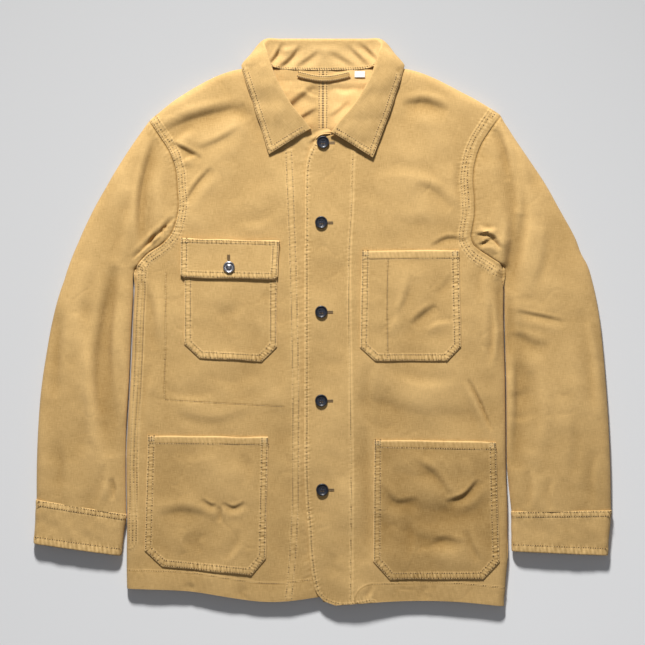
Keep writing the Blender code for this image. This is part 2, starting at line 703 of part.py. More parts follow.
def build_jacket():
    clear_scene()
    canvas = material("canvas", KHAKI, 0.85)
    facing = material("canvas_double", DARK_KHAKI, 0.85)
    dark = material("button_resin", BUTTON_NAVY, 0.25)
    steel = material("button_metal", BUTTON_STEEL, 0.3, 1.0)
    white = material("label_cloth", LABEL_WHITE, 0.7)
    build_back("back_right", RIGHT_ROWS, -1, canvas)
    build_back("back_left", LEFT_ROWS, 1, canvas)
    right_pockets = [
        ("chest_pocket_right", RIGHT_CHEST_POCKET),
        ("hip_pocket_right", RIGHT_HIP_POCKET),
    ]
    left_pockets = [
        ("chest_pocket_left", LEFT_CHEST_POCKET),
        ("hip_pocket_left", LEFT_HIP_POCKET),
    ]
    middle, normals = build_front("front_right", RIGHT_ROWS, 0.0, right_pockets, canvas)
    build_front("front_left", LEFT_ROWS, LAP, left_pockets, canvas)
    flap = build_flap(middle, normals, facing)
    build_sleeve("right", RIGHT_ROWS, RIGHT_SLEEVE_OUTER, RIGHT_SLEEVE_ROWS, -1, canvas)
    build_sleeve("left", LEFT_ROWS, LEFT_SLEEVE_OUTER, LEFT_SLEEVE_ROWS, 1, canvas)
    build_cuff("cuff_right", RIGHT_CUFF, facing)
    build_cuff("cuff_left", LEFT_CUFF, facing)
    build_collar(facing)
    build_buttons(dark, steel, flap[..., 2].max())
    build_loop(facing)
    build_label(white)


build_jacket()
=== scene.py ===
"""The looks of a cotton canvas chore jacket that lies flat on its back, buttoned up.

+X is the wearer's left, +Y runs from the hem to the collar and +Z is up. Places are worked out
in millimetres and put into the meshes in metres.
"""

import bmesh
import bpy
import numpy as np
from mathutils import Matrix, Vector


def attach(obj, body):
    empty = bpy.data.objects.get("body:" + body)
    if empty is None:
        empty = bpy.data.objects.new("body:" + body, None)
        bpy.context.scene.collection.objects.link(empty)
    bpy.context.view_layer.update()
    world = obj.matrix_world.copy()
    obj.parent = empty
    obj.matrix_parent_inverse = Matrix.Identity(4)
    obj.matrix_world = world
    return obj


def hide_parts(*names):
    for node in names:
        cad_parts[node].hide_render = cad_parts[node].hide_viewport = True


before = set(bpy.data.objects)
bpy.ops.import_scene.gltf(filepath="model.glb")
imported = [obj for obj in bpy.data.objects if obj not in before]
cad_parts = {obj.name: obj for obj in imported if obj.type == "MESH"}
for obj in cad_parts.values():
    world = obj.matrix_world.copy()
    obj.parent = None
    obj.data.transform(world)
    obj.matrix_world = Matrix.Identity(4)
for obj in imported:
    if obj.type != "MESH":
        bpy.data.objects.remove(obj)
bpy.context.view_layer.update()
MM = 0.001

# ---- The fronts --------------------------------------------------------------------------
# Two panels of washed cotton canvas with the shoulder, armhole, neck and front edge cut in one.
# The side is felled to the back, the hem is turned up 28 mm, and a facing is sewn down inside
# the front edge. The left front laps the right one.

CANVAS = 1.5  # thickness
FLOOR_LAYER = CANVAS / 2  # middle of the cloth that lies on the surface
FRONT_HEIGHT = 12.5  # middle of the fronts
LAP = 2.2  # how much higher the left front lies over the right one
LAP_FULL, LAP_END = 30.0, 110.0
ROLL = 11.0  # a folded edge is round this far in on top
TURN = 3.0  # and this far in below
NECK_RAISE = 3.6  # the back lies on the collar's fall here
NECK_EASE = 0.5  # and rises this much of it sooner
NECK_EASE_Y = (262.0, 338.0)
NECK_Y = (338.0, 350.0)
NECK_X = (200.0, 124.0)

# A row for each section of a front, from the shoulder to the hem: a point on the side or armhole,
# two between, and one on the neckline or front edge. The last number is 1 where the side is a
# fold and 0 where it is sewn.
LEFT_PANEL = [
    (257, 301, 205, 332, 116, 368, 80, 369, 1.0),
    (242, 279, 199, 308, 108, 344, 79, 342, 0.0),
    (228, 256, 192, 279, 98, 316, 67, 314, 0.0),
    (220, 232, 188, 254, 88, 290, 52, 293, 0.0),
    (217, 206, 187, 225, 75, 262, 24, 276, 0.0),
    (219, 178, 189, 194, 65, 230, -7, 270, 0.0),
    (219, 155, 191, 165, 59, 196, -23, 236, 0.0),
    (216, 136, 193, 143, 57, 164, -26, 192, 0.0),
    (215, 121, 195, 124, 56, 134, -26, 150, 0.0),
    (225, 106, 197, 107, 56, 108, -26.5, 110, 0.0),
    (241, 95, 198, 97, 56, 98, -27, 98, 0.35),
    (260, 82, 198, 84, 56, 85, -27, 85, 1.0),
    (261.5, 50, 199, 50, 55, 50, -27, 50, 1.0),
    (261.5, 8, 200, 8, 54, 8, -27, 8, 1.0),
    (263, -45, 200, -45, 54, -45, -27, -45, 1.0),
    (264, -95, 200, -95, 54, -95, -27, -95, 1.0),
    (264.5, -150, 200, -150, 54, -150, -27, -150, 1.0),
    (265, -215, 200, -215, 54, -215, -27, -215, 1.0),
    (267, -260, 200, -260, 54, -260, -25, -260, 1.0),
    (267.5, -304, 200, -304, 54, -304, -21, -304, 1.0),
    (267.5, -347, 200, -347, 54, -347, -18, -347, 1.0),
    (265, -372, 200, -373, 54, -374, -14, -373, 1.0),
    (263.5, -393, 200, -392, 56, -391, -8, -393, 1.0),
    (262.5, -402, 200, -398, 62, -398, 1, -403, 1.0),
    (262.5, -411.5, 195, -405, 72, -406, 18, -410, 1.0),
]
RIGHT_PANEL = [
    (-251, 293, -205, 329, -116, 368, -80, 369, 1.0),
    (-237, 271, -199, 303, -108, 344, -79, 342, 0.0),
    (-222, 247, -192, 274, -98, 316, -67, 314, 0.0),
    (-213, 221, -188, 244, -86, 286, -50, 291, 0.0),
    (-210, 190, -188, 212, -76, 258, -20, 281, 0.0),
    (-209, 167, -189, 183, -70, 226, 11, 278, 0.0),
    (-213, 146, -193, 156, -68, 188, 18, 232, 0.0),
    (-217, 134, -198, 139, -66, 156, 18, 190, 0.0),
    (-222, 125, -202, 127, -66, 133, 18, 150, 0.0),
    (-236, 111, -208, 111, -66, 112, 18, 114, 0.0),
    (-254, 99, -212, 99, -66, 100, 18, 100, 0.4),
    (-271, 79, -210, 80, -66, 82, 18, 82, 1.0),
    (-273, 50, -206, 50, -66, 50, 18, 50, 1.0),
    (-275, 10, -204, 10, -66, 10, 18, 10, 1.0),
    (-277, -45, -204, -45, -66, -45, 18, -45, 1.0),
    (-279.5, -95, -204, -95, -66, -95, 18, -95, 1.0),
    (-283, -150, -204, -150, -66, -150, 18, -150, 1.0),
    (-285, -210, -204, -210, -66, -210, 18, -210, 1.0),
    (-284.5, -255, -204, -255, -66, -255, 18, -255, 1.0),
    (-284, -298, -204, -298, -66, -298, 18, -298, 1.0),
    (-284.5, -338, -204, -340, -66, -344, 18, -342, 1.0),
    (-284.5, -361, -204, -364, -66, -372, 18, -370, 1.0),
    (-284, -386, -204, -389, -66, -405, 10, -396, 1.0),
]

# Rows and columns near a folded edge: how far in they are, and how far down the fold's lower half.
UNDER_TURN = np.radians([90.0, 60.0, 30.0])
OVER_TURN = np.radians([0.0, 15.0, 30.0, 45.0, 60.0, 75.0, 90.0])
EDGE_STEPS = np.concatenate([TURN * (1 - np.cos(UNDER_TURN)), ROLL * (1 - np.cos(OVER_TURN))])
UNDER = len(UNDER_TURN)
SEAM_INSET = 0.9  # a sewn edge stands back from its seam line by this much
SEAM_TUCK = 2.6  # and goes down into it


def unit(vectors):
    """Each vector divided by its length."""
    return vectors / np.maximum(np.linalg.norm(vectors, axis=-1, keepdims=True), 1e-9)


def lengths(line):
    """How far along a line each of its points is."""
    return np.concatenate([[0.0], np.cumsum(np.linalg.norm(np.diff(line, axis=0), axis=1))])


def placed(at, far, line):
    """The points of a line at these distances along it."""
    return np.column_stack([np.interp(at, far, column) for column in line.T])


def ramp(value, start, end):
    """0 at start, 1 at end, with a smooth rise between."""
    t = np.clip((value - start) / (end - start), 0.0, 1.0)
    return t * t * (3 - 2 * t)


def spline(points, knots, at):
    """Cubic lines through points, one for each first index. knots says how far along each point
    is, and at says where to sample. The slope at a point comes from the spans on both sides."""
    span = np.diff(knots, axis=1)[..., None]
    speed = np.diff(points, axis=1) / span
    inner = (speed[:, :-1] * span[:, 1:] + speed[:, 1:] * span[:, :-1]) / (span[:, 1:] + span[:, :-1])
    slope = np.concatenate([speed[:, :1], inner, speed[:, -1:]], axis=1)
    piece = (at[..., None] >= knots[:, None, 1:-1]).sum(axis=-1)[..., None]
    start, step = (np.take_along_axis(v, piece, axis=1) for v in (knots[..., None], span))
    t = (at[..., None] - start) / step
    p0, p1, m0, m1 = (
        np.take_along_axis(v, piece + k, axis=1)
        for v, k in ((points, 0), (points, 1), (slope, 0), (slope, 1))
    )
    return (
        p0 * (2 * t**3 - 3 * t**2 + 1)
        + p1 * (3 * t**2 - 2 * t**3)
        + step * (m0 * (t**3 - 2 * t**2 + t) + m1 * (t**3 - t**2))
    )


def curve(points, spacing=4.0):
    """One smooth line through the points, sampled about every spacing mm."""
    points = np.array(points, float)[None]
    knots = lengths(points[0])
    count = max(3, int(knots[-1] / spacing))
    return spline(points, knots[None], np.linspace(0, knots[-1], count)[None])[0]


def nearest(x, y, line, reach):
    """How far each point is from a line (plus to the left of its direction), and how far along
    the line its nearest place is. Points further than reach from the line's box get infinity."""
    line = np.asarray(line, float)
    low, high = line.min(axis=0) - reach, line.max(axis=0) + reach
    there = (x > low[0]) & (x < high[0]) & (y > low[1]) & (y < high[1])
    px, py = x[there], y[there]
    best, along = np.full(px.shape, np.inf), np.zeros(px.shape)
    side = np.ones(px.shape)
    way = 0.0
    for start, run in zip(line[:-1], np.diff(line, axis=0)):
        length = max(np.hypot(*run), 1e-6)
        t = np.clip(((px - start[0]) * run[0] + (py - start[1]) * run[1]) / length**2, 0, 1)
        ex, ey = px - start[0] - t * run[0], py - start[1] - t * run[1]
        away = np.hypot(ex, ey)
        nearer = away < best - 1e-9
        best = np.where(nearer, away, best)
        side = np.where(nearer, np.where(run[0] * ey - run[1] * ex < 0, -1.0, 1.0), side)
        along = np.where(nearer, way + t * length, along)
        way += length
    distance, place = np.full(x.shape, np.inf), np.zeros(x.shape)
    distance[there], place[there] = best * side, along
    return distance, place


def ripple(x, y, size, seed):
    """Soft uneven waves about size mm long, from -1 to 1: twelve sines in random directions."""
    random = np.random.default_rng(seed)
    angle, phase = random.uniform(0, 2 * np.pi, (2, 12))
    pace = 2 * np.pi / (size * random.uniform(0.7, 1.7, 12))
    total = 0.0
    for a, f, p in zip(angle, phase, pace):
        total = total + np.sin(p * (x * np.cos(a) + y * np.sin(a)) + f)
    return total / 4.0


def back_height(x, y):
    """Middle of the back's cloth: on the surface, or on the collar's fall near the neck."""
    eased = NECK_EASE * ramp(y, *NECK_EASE_Y)
    high = (NECK_RAISE - NECK_EASE) * ramp(y, *NECK_Y)
    return FLOOR_LAYER + (eased + high) * ramp(np.abs(x), *NECK_X)


# The creases: the start, a point between and the end, then half the width and the depth, all in
# mm. Minus is a ridge.
CREASES = [
    # right shoulder and chest
    (-236, 272, -200, 289, -112, 313, 13, 2.1),
    (-214, 236, -206, 262, -184, 276, 9, -0.9),
    (-120, 316, -100, 290, -92, 262, 14, 1.0),
    (-226, 262, -202, 250, -176, 236, 6, 1.3),
    (-199, 172, -182, 200, -160, 224, 6, 1.3),
    (-180, 250, -150, 262, -118, 282, 8, 0.9),
    (-206, 228, -196, 236, -180, 240, 5, -0.7),
    (-150, 296, -110, 290, -86, 297, 13, -0.6),
    (-60, 170, -90, 150, -130, 148, 12, 0.5),
    # right body, below the chest pocket
    (-90, -70, -130, -84, -175, -72, 16, 0.7),
    (-150, -95, -190, -104, -240, -92, 14, 0.6),
    (-100, -118, -160, -135, -215, -124, 12, -0.5),
    (-60, -20, -58, -60, -62, -100, 8, 0.3),
    (-262, 60, -250, 20, -244, -40, 10, 1.0),
    (-240, 60, -236, 20, -238, -20, 7, -0.5),
    (-252, -60, -262, -110, -266, -160, 9, 0.8),
    (-30, -300, -20, -330, -34, -352, 9, 0.4),
    (-200, -378, -190, -386, -194, -394, 7, 0.5),
    (-110, -385, -118, -392, -112, -402, 7, 0.5),
    # left shoulder and chest
    (115, 314, 148, 317, 182, 305, 11, 1.7),
    (133, 199, 160, 189, 186, 163, 12, 1.1),
    (70, 205, 120, 210, 170, 196, 15, -0.6),
    (156, 108, 182, 121, 209, 116, 6, 0.9),
    (100, 150, 130, 140, 160, 144, 15, 0.5),
    (206, 170, 196, 200, 198, 230, 9, 0.7),
    (28, 277, -2, 273, -20, 262, 3.0, -1.5),
    (20, 262, -2, 264, -20, 252, 13.0, 1.3),
    # left body and side
    (211, -82, 226, -112, 246, -158, 3.6, 1.3),
    (205, -84, 220, -114, 240, -158, 5, -0.5),
    (243, 26, 246, -12, 243, -60, 4.5, 0.9),
    (249, 30, 253, -14, 249, -66, 4.0, -0.5),
    (257, 74, 256, 40, 258, -12, 7, 1.4),
    (232, 84, 226, 60, 230, 30, 9, 0.7),
    (238, 88, 246, 80, 252, 60, 5, -0.7),
    (52, -104, 140, -136, 250, -130, 22, 0.8),
    (90, -80, 150, -96, 200, -92, 14, -0.6),
    (70, -60, 62, -100, 66, -150, 10, 0.6),
    (60, -150, 64, -240, 66, -350, 11, 1.3),
    (70, -380, 68, -390, 61, -400, 5, 0.6),
    (17, -335, 14, -352, 22, -366, 10, 0.5),
    (255, -190, 258, -250, 256, -310, 7, 0.6),
    (150, -382, 146, -392, 152, -402, 8, 0.5),
    # right sleeve
    (-264, 106, -263, 185, -243, 268, 9, 2.6),
    (-255, 270, -278, 225, -286, 165, 14, -0.8),
    (-248, 120, -249, 160, -247, 200, 5, 0.5),
    (-280, 190, -292, 140, -300, 90, 11, 1.1),
    (-311, -196, -323, -60, -302, 82, 15, 3.3),
    (-292, -150, -302, -40, -290, 84, 10, -1.5),
    (-352, 16, -344, -70, -340, -176, 13, -1.3),
    (-380, 20, -386, -40, -388, -110, 12, 1.2),
    (-212, 155, -240, 127, -276, 92, 3.0, 1.5),
    (-226, 140, -231, 133, -235, 124, 2.4, 1.6),
    (-243, 128, -247, 121, -250, 111, 2.4, 1.5),
    (-252, 168, -252, 148, -253, 126, 2.0, 0.7),
    (-345, 90, -356, 20, -358, -50, 16, -1.2),
    (-300, -40, -292, -90, -296, -150, 9, 1.0),
    (-350, -90, -346, -150, -356, -205, 13, 0.9),
    (-306, -226, -303, -240, -304, -258, 5, 1.3),
    (-318, -205, -322, -235, -330, -262, 8, 0.8),
    (-384, -170, -380, -215, -384, -255, 9, 0.7),
    (-388, 0, -396, -60, -398, -120, 9, -0.6),
    # left sleeve
    (250, 282, 262, 250, 270, 205, 8, 2.0),
    (270, 214, 276, 170, 268, 120, 9, 1.4),
    (266, 272, 290, 226, 296, 172, 13, -0.8),
    (268, 40, 272, 96, 282, 158, 13, 2.8),
    (276, -214, 284, -110, 276, 20, 13, 2.6),
    (264, -24, 282, -20, 304, -30, 8, 0.45),
    (262, -104, 282, -108, 304, -98, 9, 0.4),
    (262, -140, 286, -146, 308, -138, 8, -0.4),
    (270, 44, 271, -10, 270, -80, 10, 1.6),
    (284, 60, 300, 130, 301, 200, 10, -1.2),
    (226, 138, 236, 131, 252, 134, 6, -1.6),
    (222, 126, 238, 128, 252, 120, 3.5, 1.6),
    (226, 111, 236, 117, 245, 122, 2.6, 1.4),
    (257, 106, 252, 114, 244, 122, 2.6, 1.4),
    (236, 106, 244, 110, 252, 100, 5, -1.0),
    (318, 140, 312, 90, 296, 50, 12, -0.8),
    (280, 15, 315, 8, 350, 0, 5, 0.8),
    (274, 26, 300, 24, 326, 16, 9, -0.3),
    (278, -20, 300, -32, 330, -36, 12, 0.9),
    (383, 0, 398, -70, 406, -141, 10, -1.0),
    (372, 20, 386, -60, 390, -140, 9, 0.8),
    (300, -70, 310, -130, 304, -190, 13, 0.9),
    (350, -110, 356, -170, 350, -230, 13, -0.8),
    (296, -215, 300, -240, 298, -268, 7, 0.9),
    (330, -225, 326, -250, 332, -270, 7, 0.7),
    (392, -190, 388, -230, 392, -268, 8, 0.7),
    # pockets
    (103, 1, 122, 34, 131, 67, 9, 0.9),
    (128, -6, 143, 8, 166, 24, 8, 1.0),
    (150, -14, 166, -4, 190, -2, 7, -0.6),
    (96, -20, 108, 8, 116, 40, 8, -0.6),
    (160, 40, 176, 50, 190, 70, 8, 0.4),
    (-176, -256, -163, -266, -153, -266, 4.5, 0.8),
    (-151, -266, -148, -276, -150, -290, 4.0, 0.9),
    (-146, -262, -130, -270, -112, -261, 4.5, 0.9),
    (-240, -282, -205, -276, -170, -282, 12, 0.9),
    (-200, -300, -206, -318, -200, -334, 9, -0.7),
    (-176, -306, -182, -320, -176, -334, 7, 0.5),
    (-120, -300, -126, -322, -146, -344, 8, 0.6),
    (-222, -196, -190, -204, -150, -196, 14, -0.5),
    (-112, -190, -108, -212, -112, -236, 8, 0.5),
    (178, -262, 203, -254, 228, -228, 6, 1.5),
    (128, -200, 160, -222, 186, -258, 9, 0.9),
    (84, -236, 104, -262, 140, -258, 8, 0.8),
    (150, -330, 170, -318, 206, -322, 8, 0.7),
    (120, -270, 126, -300, 122, -344, 9, 0.7),
    (208, -300, 214, -322, 226, -346, 6, 0.8),
    (100, -215, 140, -225, 180, -212, 15, 0.6),
    (90, -256, 165, -276, 246, -268, 26, 1.3),
    (110, -300, 150, -316, 200, -310, 14, 0.7),
    (205, -196, 214, -215, 212, -240, 8, -0.5),
    (130, -340, 160, -330, 196, -338, 12, -0.5),
    (-120, 30, -134, 8, -130, -16, 12, 0.5),
    (-170, 20, -150, 0, -120, 10, 14, -0.4),
    (-100, 0, -96, -24, -104, -44, 9, 0.4),
]
CREASE_REACH = 5.5  # widths
# How much the cloth is painted paler on ridges and darker in troughs for each mm of fold: partly wear,
# partly painted light and shade.
FOLD_WEAR_AND_SHADE = 0.14  # for each mm
SEAM_FADE, FAR_AWAY = 14.0, 99.0  # nothing of a seam is left this far beyond its band
ROW_STEP = 3.0  # between the points of a row laid on the cloth


def creased(x, y, table):
    """The height of the creases of a table: each a trough that fades at its ends between two low
    ridges, and is steeper on the left of its direction."""
    height = np.zeros(x.shape)
    for *points, width, depth in table:
        line = curve(np.reshape(points, (3, 2)), 6.0)
        away, along = nearest(x, y, line, width * CREASE_REACH)
        length = lengths(line)[-1]
        fade = np.clip(np.sin(np.pi * np.clip(along / length, 0, 1)), 0, 1) ** 0.7
        beside = np.abs(away) / (width * np.where(away > 0, 0.6, 1.3))
        shape = 0.32 * np.exp(-((beside - 1.9) ** 2) * 1.5) - np.exp(-(beside**2) * 1.3)
        height += 1.9 * depth * fade * shape
    return height


def relief(x, y):
    """The creases on a soft uneven ground, with long folds on the sleeves and a few fine wrinkles
    that wind over the cloth."""
    on_sleeve = ramp(np.abs(x), 255.0, 290.0)
    ground = (0.9 - 0.3 * on_sleeve) * ripple(x, y, 105.0, 1) + 0.2 * ripple(x, y, 34.0, 2)
    ground += 0.9 * on_sleeve * ripple(x, 0.2 * y + 0.1 * x, 44.0, 715)
    ground += 0.42 * (1 - on_sleeve) * ripple(x + 0.4 * y, 0.7 * y, 58.0, 6)
    fine = np.exp(-((ripple(x, y, 46.0, 9) / 0.16) ** 2)) * np.clip(ripple(x, y, 90.0, 11), 0, 1)
    return ground - 0.3 * fine + creased(x, y, CREASES)


def fold_wear_and_shade(folds_here):
    """The colour of folds, partly washing wear and partly painted light and shade: paler on ridges and
    deeper in troughs, where shade falls.
    """
    return FOLD_WEAR_AND_SHADE * np.clip(folds_here, -3.5, 2.5)


def rope(along, across, size, seed):
    """Puckers along a seam: two sines about size mm long whose phase drifts, so that the bars are
    uneven in place and strength. The sines lean with the distance across."""
    drift = ripple(along, 0 * along, size * 6, seed)
    swell = 0.7 + 0.3 * ripple(along, 0 * along, size * 10, seed + 1)
    short = np.sin(2 * np.pi * along / size + 1.7 * drift + 0.3 * across)
    long = np.sin(2 * np.pi * along / (1.8 * size) + 2.2 * drift - 0.2 * across)
    return swell * (0.7 * short + 0.4 * long)


def sewn(x, y, seams):
    """The height, and the wear and painted shading, that seams add. Each is a raised band beside a line,
    with grooves under its rows of stitches and puckers over its width. The band and its rims are paler from
    wear; the puckers are painted paler on their ridges and darker between them, partly wear and partly
    painted light and shade, and the grooves are painted darker, as shade. A seam's keys say where its band
    and rows are from its line, how much it lifts, how strong, long and far out its puckers are, how pale
    its band and rims are and how deep its grooves are."""
    height, wear_and_shading = np.zeros(x.shape), np.zeros(x.shape)
    for number, seam in enumerate(seams):
        start, end = seam["band"]
        away, along = nearest(x, y, seam["line"], end + SEAM_FADE)
        away = np.where(np.abs(away) < end + SEAM_FADE, away, FAR_AWAY)
        band = ramp(away, start - 0.6, start + 0.6) * (1 - ramp(away, end - 0.6, end + 0.6))
        height += seam["lift"] * band
        wear_and_shading += seam.get("pale", 0.3) * band * (seam["lift"] > 0)
        edge = np.exp(-(((away - end) / 1.1) ** 2)) + np.exp(-(((away - start) / 1.1) ** 2))
        wear_and_shading += seam.get("rim", 0.5) * edge * (seam["lift"] > 0)
        middle = (start + end) / 2
        spread = (end - start) / 2 + seam.get("reach", 3.0)
        puckers = rope(along, away, seam.get("size", 6.5), 40 + 7 * number)
        puckers = puckers * np.exp(-np.abs((away - middle) / spread) ** 3)
        height += seam["rope"] * puckers
        # Pucker ridges painted paler and their hollows darker: partly wear, partly painted light and shade.
        wear_and_shading += 2.6 * seam["rope"] * puckers
        for row in seam["rows"]:
            groove = np.exp(-(((away - row) / 1.0) ** 2))
            height -= seam.get("groove", 0.3) * groove
            # Painted shade: the colour is darker in each stitch groove.
            wear_and_shading -= 0.8 * groove
    return height, wear_and_shading


def beside(line, distance):
    """The line moved to its left by distance, with its corners kept."""
    line = np.asarray(line, float)
    run = unit(np.diff(line, axis=0))
    normal = np.column_stack([-run[:, 1], run[:, 0]])
    before = np.concatenate([normal[:1], normal])
    after = np.concatenate([normal, normal[-1:]])
    middle = unit(before + after)
    stretch = np.maximum((middle * after).sum(axis=1, keepdims=True), 0.45)
    return line + middle / stretch * distance


def lying(x, y, top, folds):
    """Height of cloth that turns down along its folds: the upper half of an ellipse."""
    away = np.full(x.shape, np.inf)
    for fold in folds:
        away = np.minimum(away, np.abs(nearest(x, y, fold, ROLL + 2)[0]))
    left = np.clip(1 - away / ROLL, 0, 1)
    middle = (back_height(x, y) + top) / 2
    return middle + (top - middle) * np.sqrt(1 - left**2)


def turned_under(grid, folded, top_rows):
    """Sets the height of the first columns and, if top_rows, rows, below a fold's middle line.
    folded is 1 for each row whose edge is a fold and 0 where it goes down into a seam."""
    down = np.sin(UNDER_TURN)
    if top_rows:
        edge = grid[UNDER, :, 2]
        low = back_height(grid[UNDER, :, 0], grid[UNDER, :, 1])
        grid[:UNDER, :, 2] = low + (edge - low) * (1 - down[:, None])
    edge = grid[:, UNDER, 2]
    low = back_height(grid[:, UNDER, 0], grid[:, UNDER, 1])
    fold = low[:, None] + (edge - low)[:, None] * (1 - down)
    tuck = edge[:, None] - SEAM_TUCK * down
    grid[:, :UNDER, 2] = np.minimum(
        fold * folded[:, None] + tuck * (1 - folded[:, None]), grid[:, :UNDER, 2]
    )
    return grid


def grid_normals(grid, wrap=False):
    """Unit normals of a grid, from its differences down and across, round a ring if wrap."""
    down = np.gradient(grid, axis=0)
    if wrap:
        across = np.roll(grid, -1, axis=1) - np.roll(grid, 1, axis=1)
    else:
        across = np.gradient(grid, axis=1)
    return unit(np.cross(down, across))


def under_faces(index, step, wrap):
    """Faces of an under side, step points wide. Those at the sheet's edge keep all its points."""
    cells = (np.array(index.shape) - 1) // step
    walk_down = np.array([0] * step + list(range(step)) + [step] * step + list(range(step, 0, -1)))
    walk_across = np.roll(walk_down, -step)
    rows = np.arange(cells[0])[:, None, None] * step + walk_down
    cols = np.arange(cells[1])[None, :, None] * step + walk_across
    walk = index[rows, cols]
    keep = np.zeros(walk.shape, bool)
    keep[..., ::step] = True
    keep[0, :, :step] = True
    keep[-1, :, 2 * step : 3 * step] = True
    if not wrap:
        keep[:, -1, step : 2 * step] = True
        keep[:, 0, 3 * step :] = True
    flat, kept = walk.reshape(-1, 4 * step), keep.reshape(-1, 4 * step)
    return [cell[use][::-1].tolist() for cell, use in zip(flat, kept)]


def closed_mesh(name, points, faces, weld=False):
    """A mesh from points in mm, with its faces turned outwards."""
    mesh = bpy.data.meshes.new(name)
    mesh.from_pydata((points.reshape(-1, 3) * MM).tolist(), [], faces)
    maker = bmesh.new()
    maker.from_mesh(mesh)
    if weld:
        bmesh.ops.remove_doubles(maker, verts=maker.verts, dist=1e-6)
    bmesh.ops.recalc_face_normals(maker, faces=maker.faces)
    maker.to_mesh(mesh)
    maker.free()
    return mesh


def cloth(name, top, under, uv, wear_and_shading, finish, step=4, wrap=False):
    """A closed sheet between two grids of points in mm. The top side has all the grid's cells, and the
    under side has them step by step. uv is in mm, and the wear, with painted light and shade, is kept as an
    attribute."""
    rows, cols = top.shape[:2]
    index = np.arange(rows * cols).reshape(rows, cols)
    if wrap:
        index = np.hstack([index, index[:, :1]])
    other = index + rows * cols
    quads = np.stack([index[:-1, :-1], index[1:, :-1], index[1:, 1:], index[:-1, 1:]], axis=-1)
    faces = quads.reshape(-1, 4).tolist() + under_faces(other, step, wrap)
    if wrap:
        loops = [index[0][::-1], index[-1]]
    else:
        loops = [np.concatenate([index[0, ::-1], index[1:, 0], index[-1, 1:], index[-2::-1, -1]])]
    for loop in loops:
        rim = np.stack([loop[1:], loop[:-1], loop[:-1] + rows * cols, loop[1:] + rows * cols], axis=-1)
        faces += rim.tolist()
    points = np.concatenate([top.reshape(-1, 3), under.reshape(-1, 3)])
    points[:, 2] = np.maximum(points[:, 2], 0.0)
    used = np.unique(np.concatenate([np.array(face) for face in faces]))
    place = np.zeros(len(points), int)
    place[used] = np.arange(len(used))
    mesh = closed_mesh(name, points[used], [place[face].tolist() for face in faces])
    corner = np.empty(len(mesh.loops), int)
    mesh.loops.foreach_get("vertex_index", corner)
    flat = np.tile(uv.reshape(-1, 2), (2, 1))[used] * MM
    mesh.uv_layers.new(name="Weave").data.foreach_set("uv", flat[corner].ravel())
    # The attribute holds wear together with painted light and shade.
    kept = mesh.attributes.new("wear_and_shading", "FLOAT", "POINT")
    kept.data.foreach_set("value", np.tile(wear_and_shading.ravel(), 2)[used])
    return shown(name, mesh, finish)


def shown(name, mesh, finish):
    """Puts a mesh in the scene with its material, smooth but for edges sharper than 50 degrees."""
    mesh.materials.append(finish)
    mesh.shade_smooth()
    mesh.set_sharp_from_angle(angle=np.radians(50))
    obj = bpy.data.objects.new(name, mesh)
    bpy.context.scene.collection.objects.link(obj)
    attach(obj, "root")
    return obj


def node(tree, kind, **values):
    """A shader node. Values go to its sockets if they are named so, and else to its settings."""
    made = tree.nodes.new(kind)
    for key, value in values.items():
        socket = made.inputs.get(key.replace("_", " "))
        if socket is None:
            setattr(made, key, value)
        elif isinstance(value, bpy.types.NodeSocket):
            tree.links.new(value, socket)
        else:
            socket.default_value = value
    return made


def maths(tree, operation, first, second=None, third=None):
    """The result of one operation on sockets and numbers."""
    made = tree.nodes.new("ShaderNodeMath")
    made.operation = operation
    for socket, value in zip(made.inputs, (first, second, third)):
        if isinstance(value, bpy.types.NodeSocket):
            tree.links.new(value, socket)
        elif value is not None:
            socket.default_value = value
    return made.outputs[0]


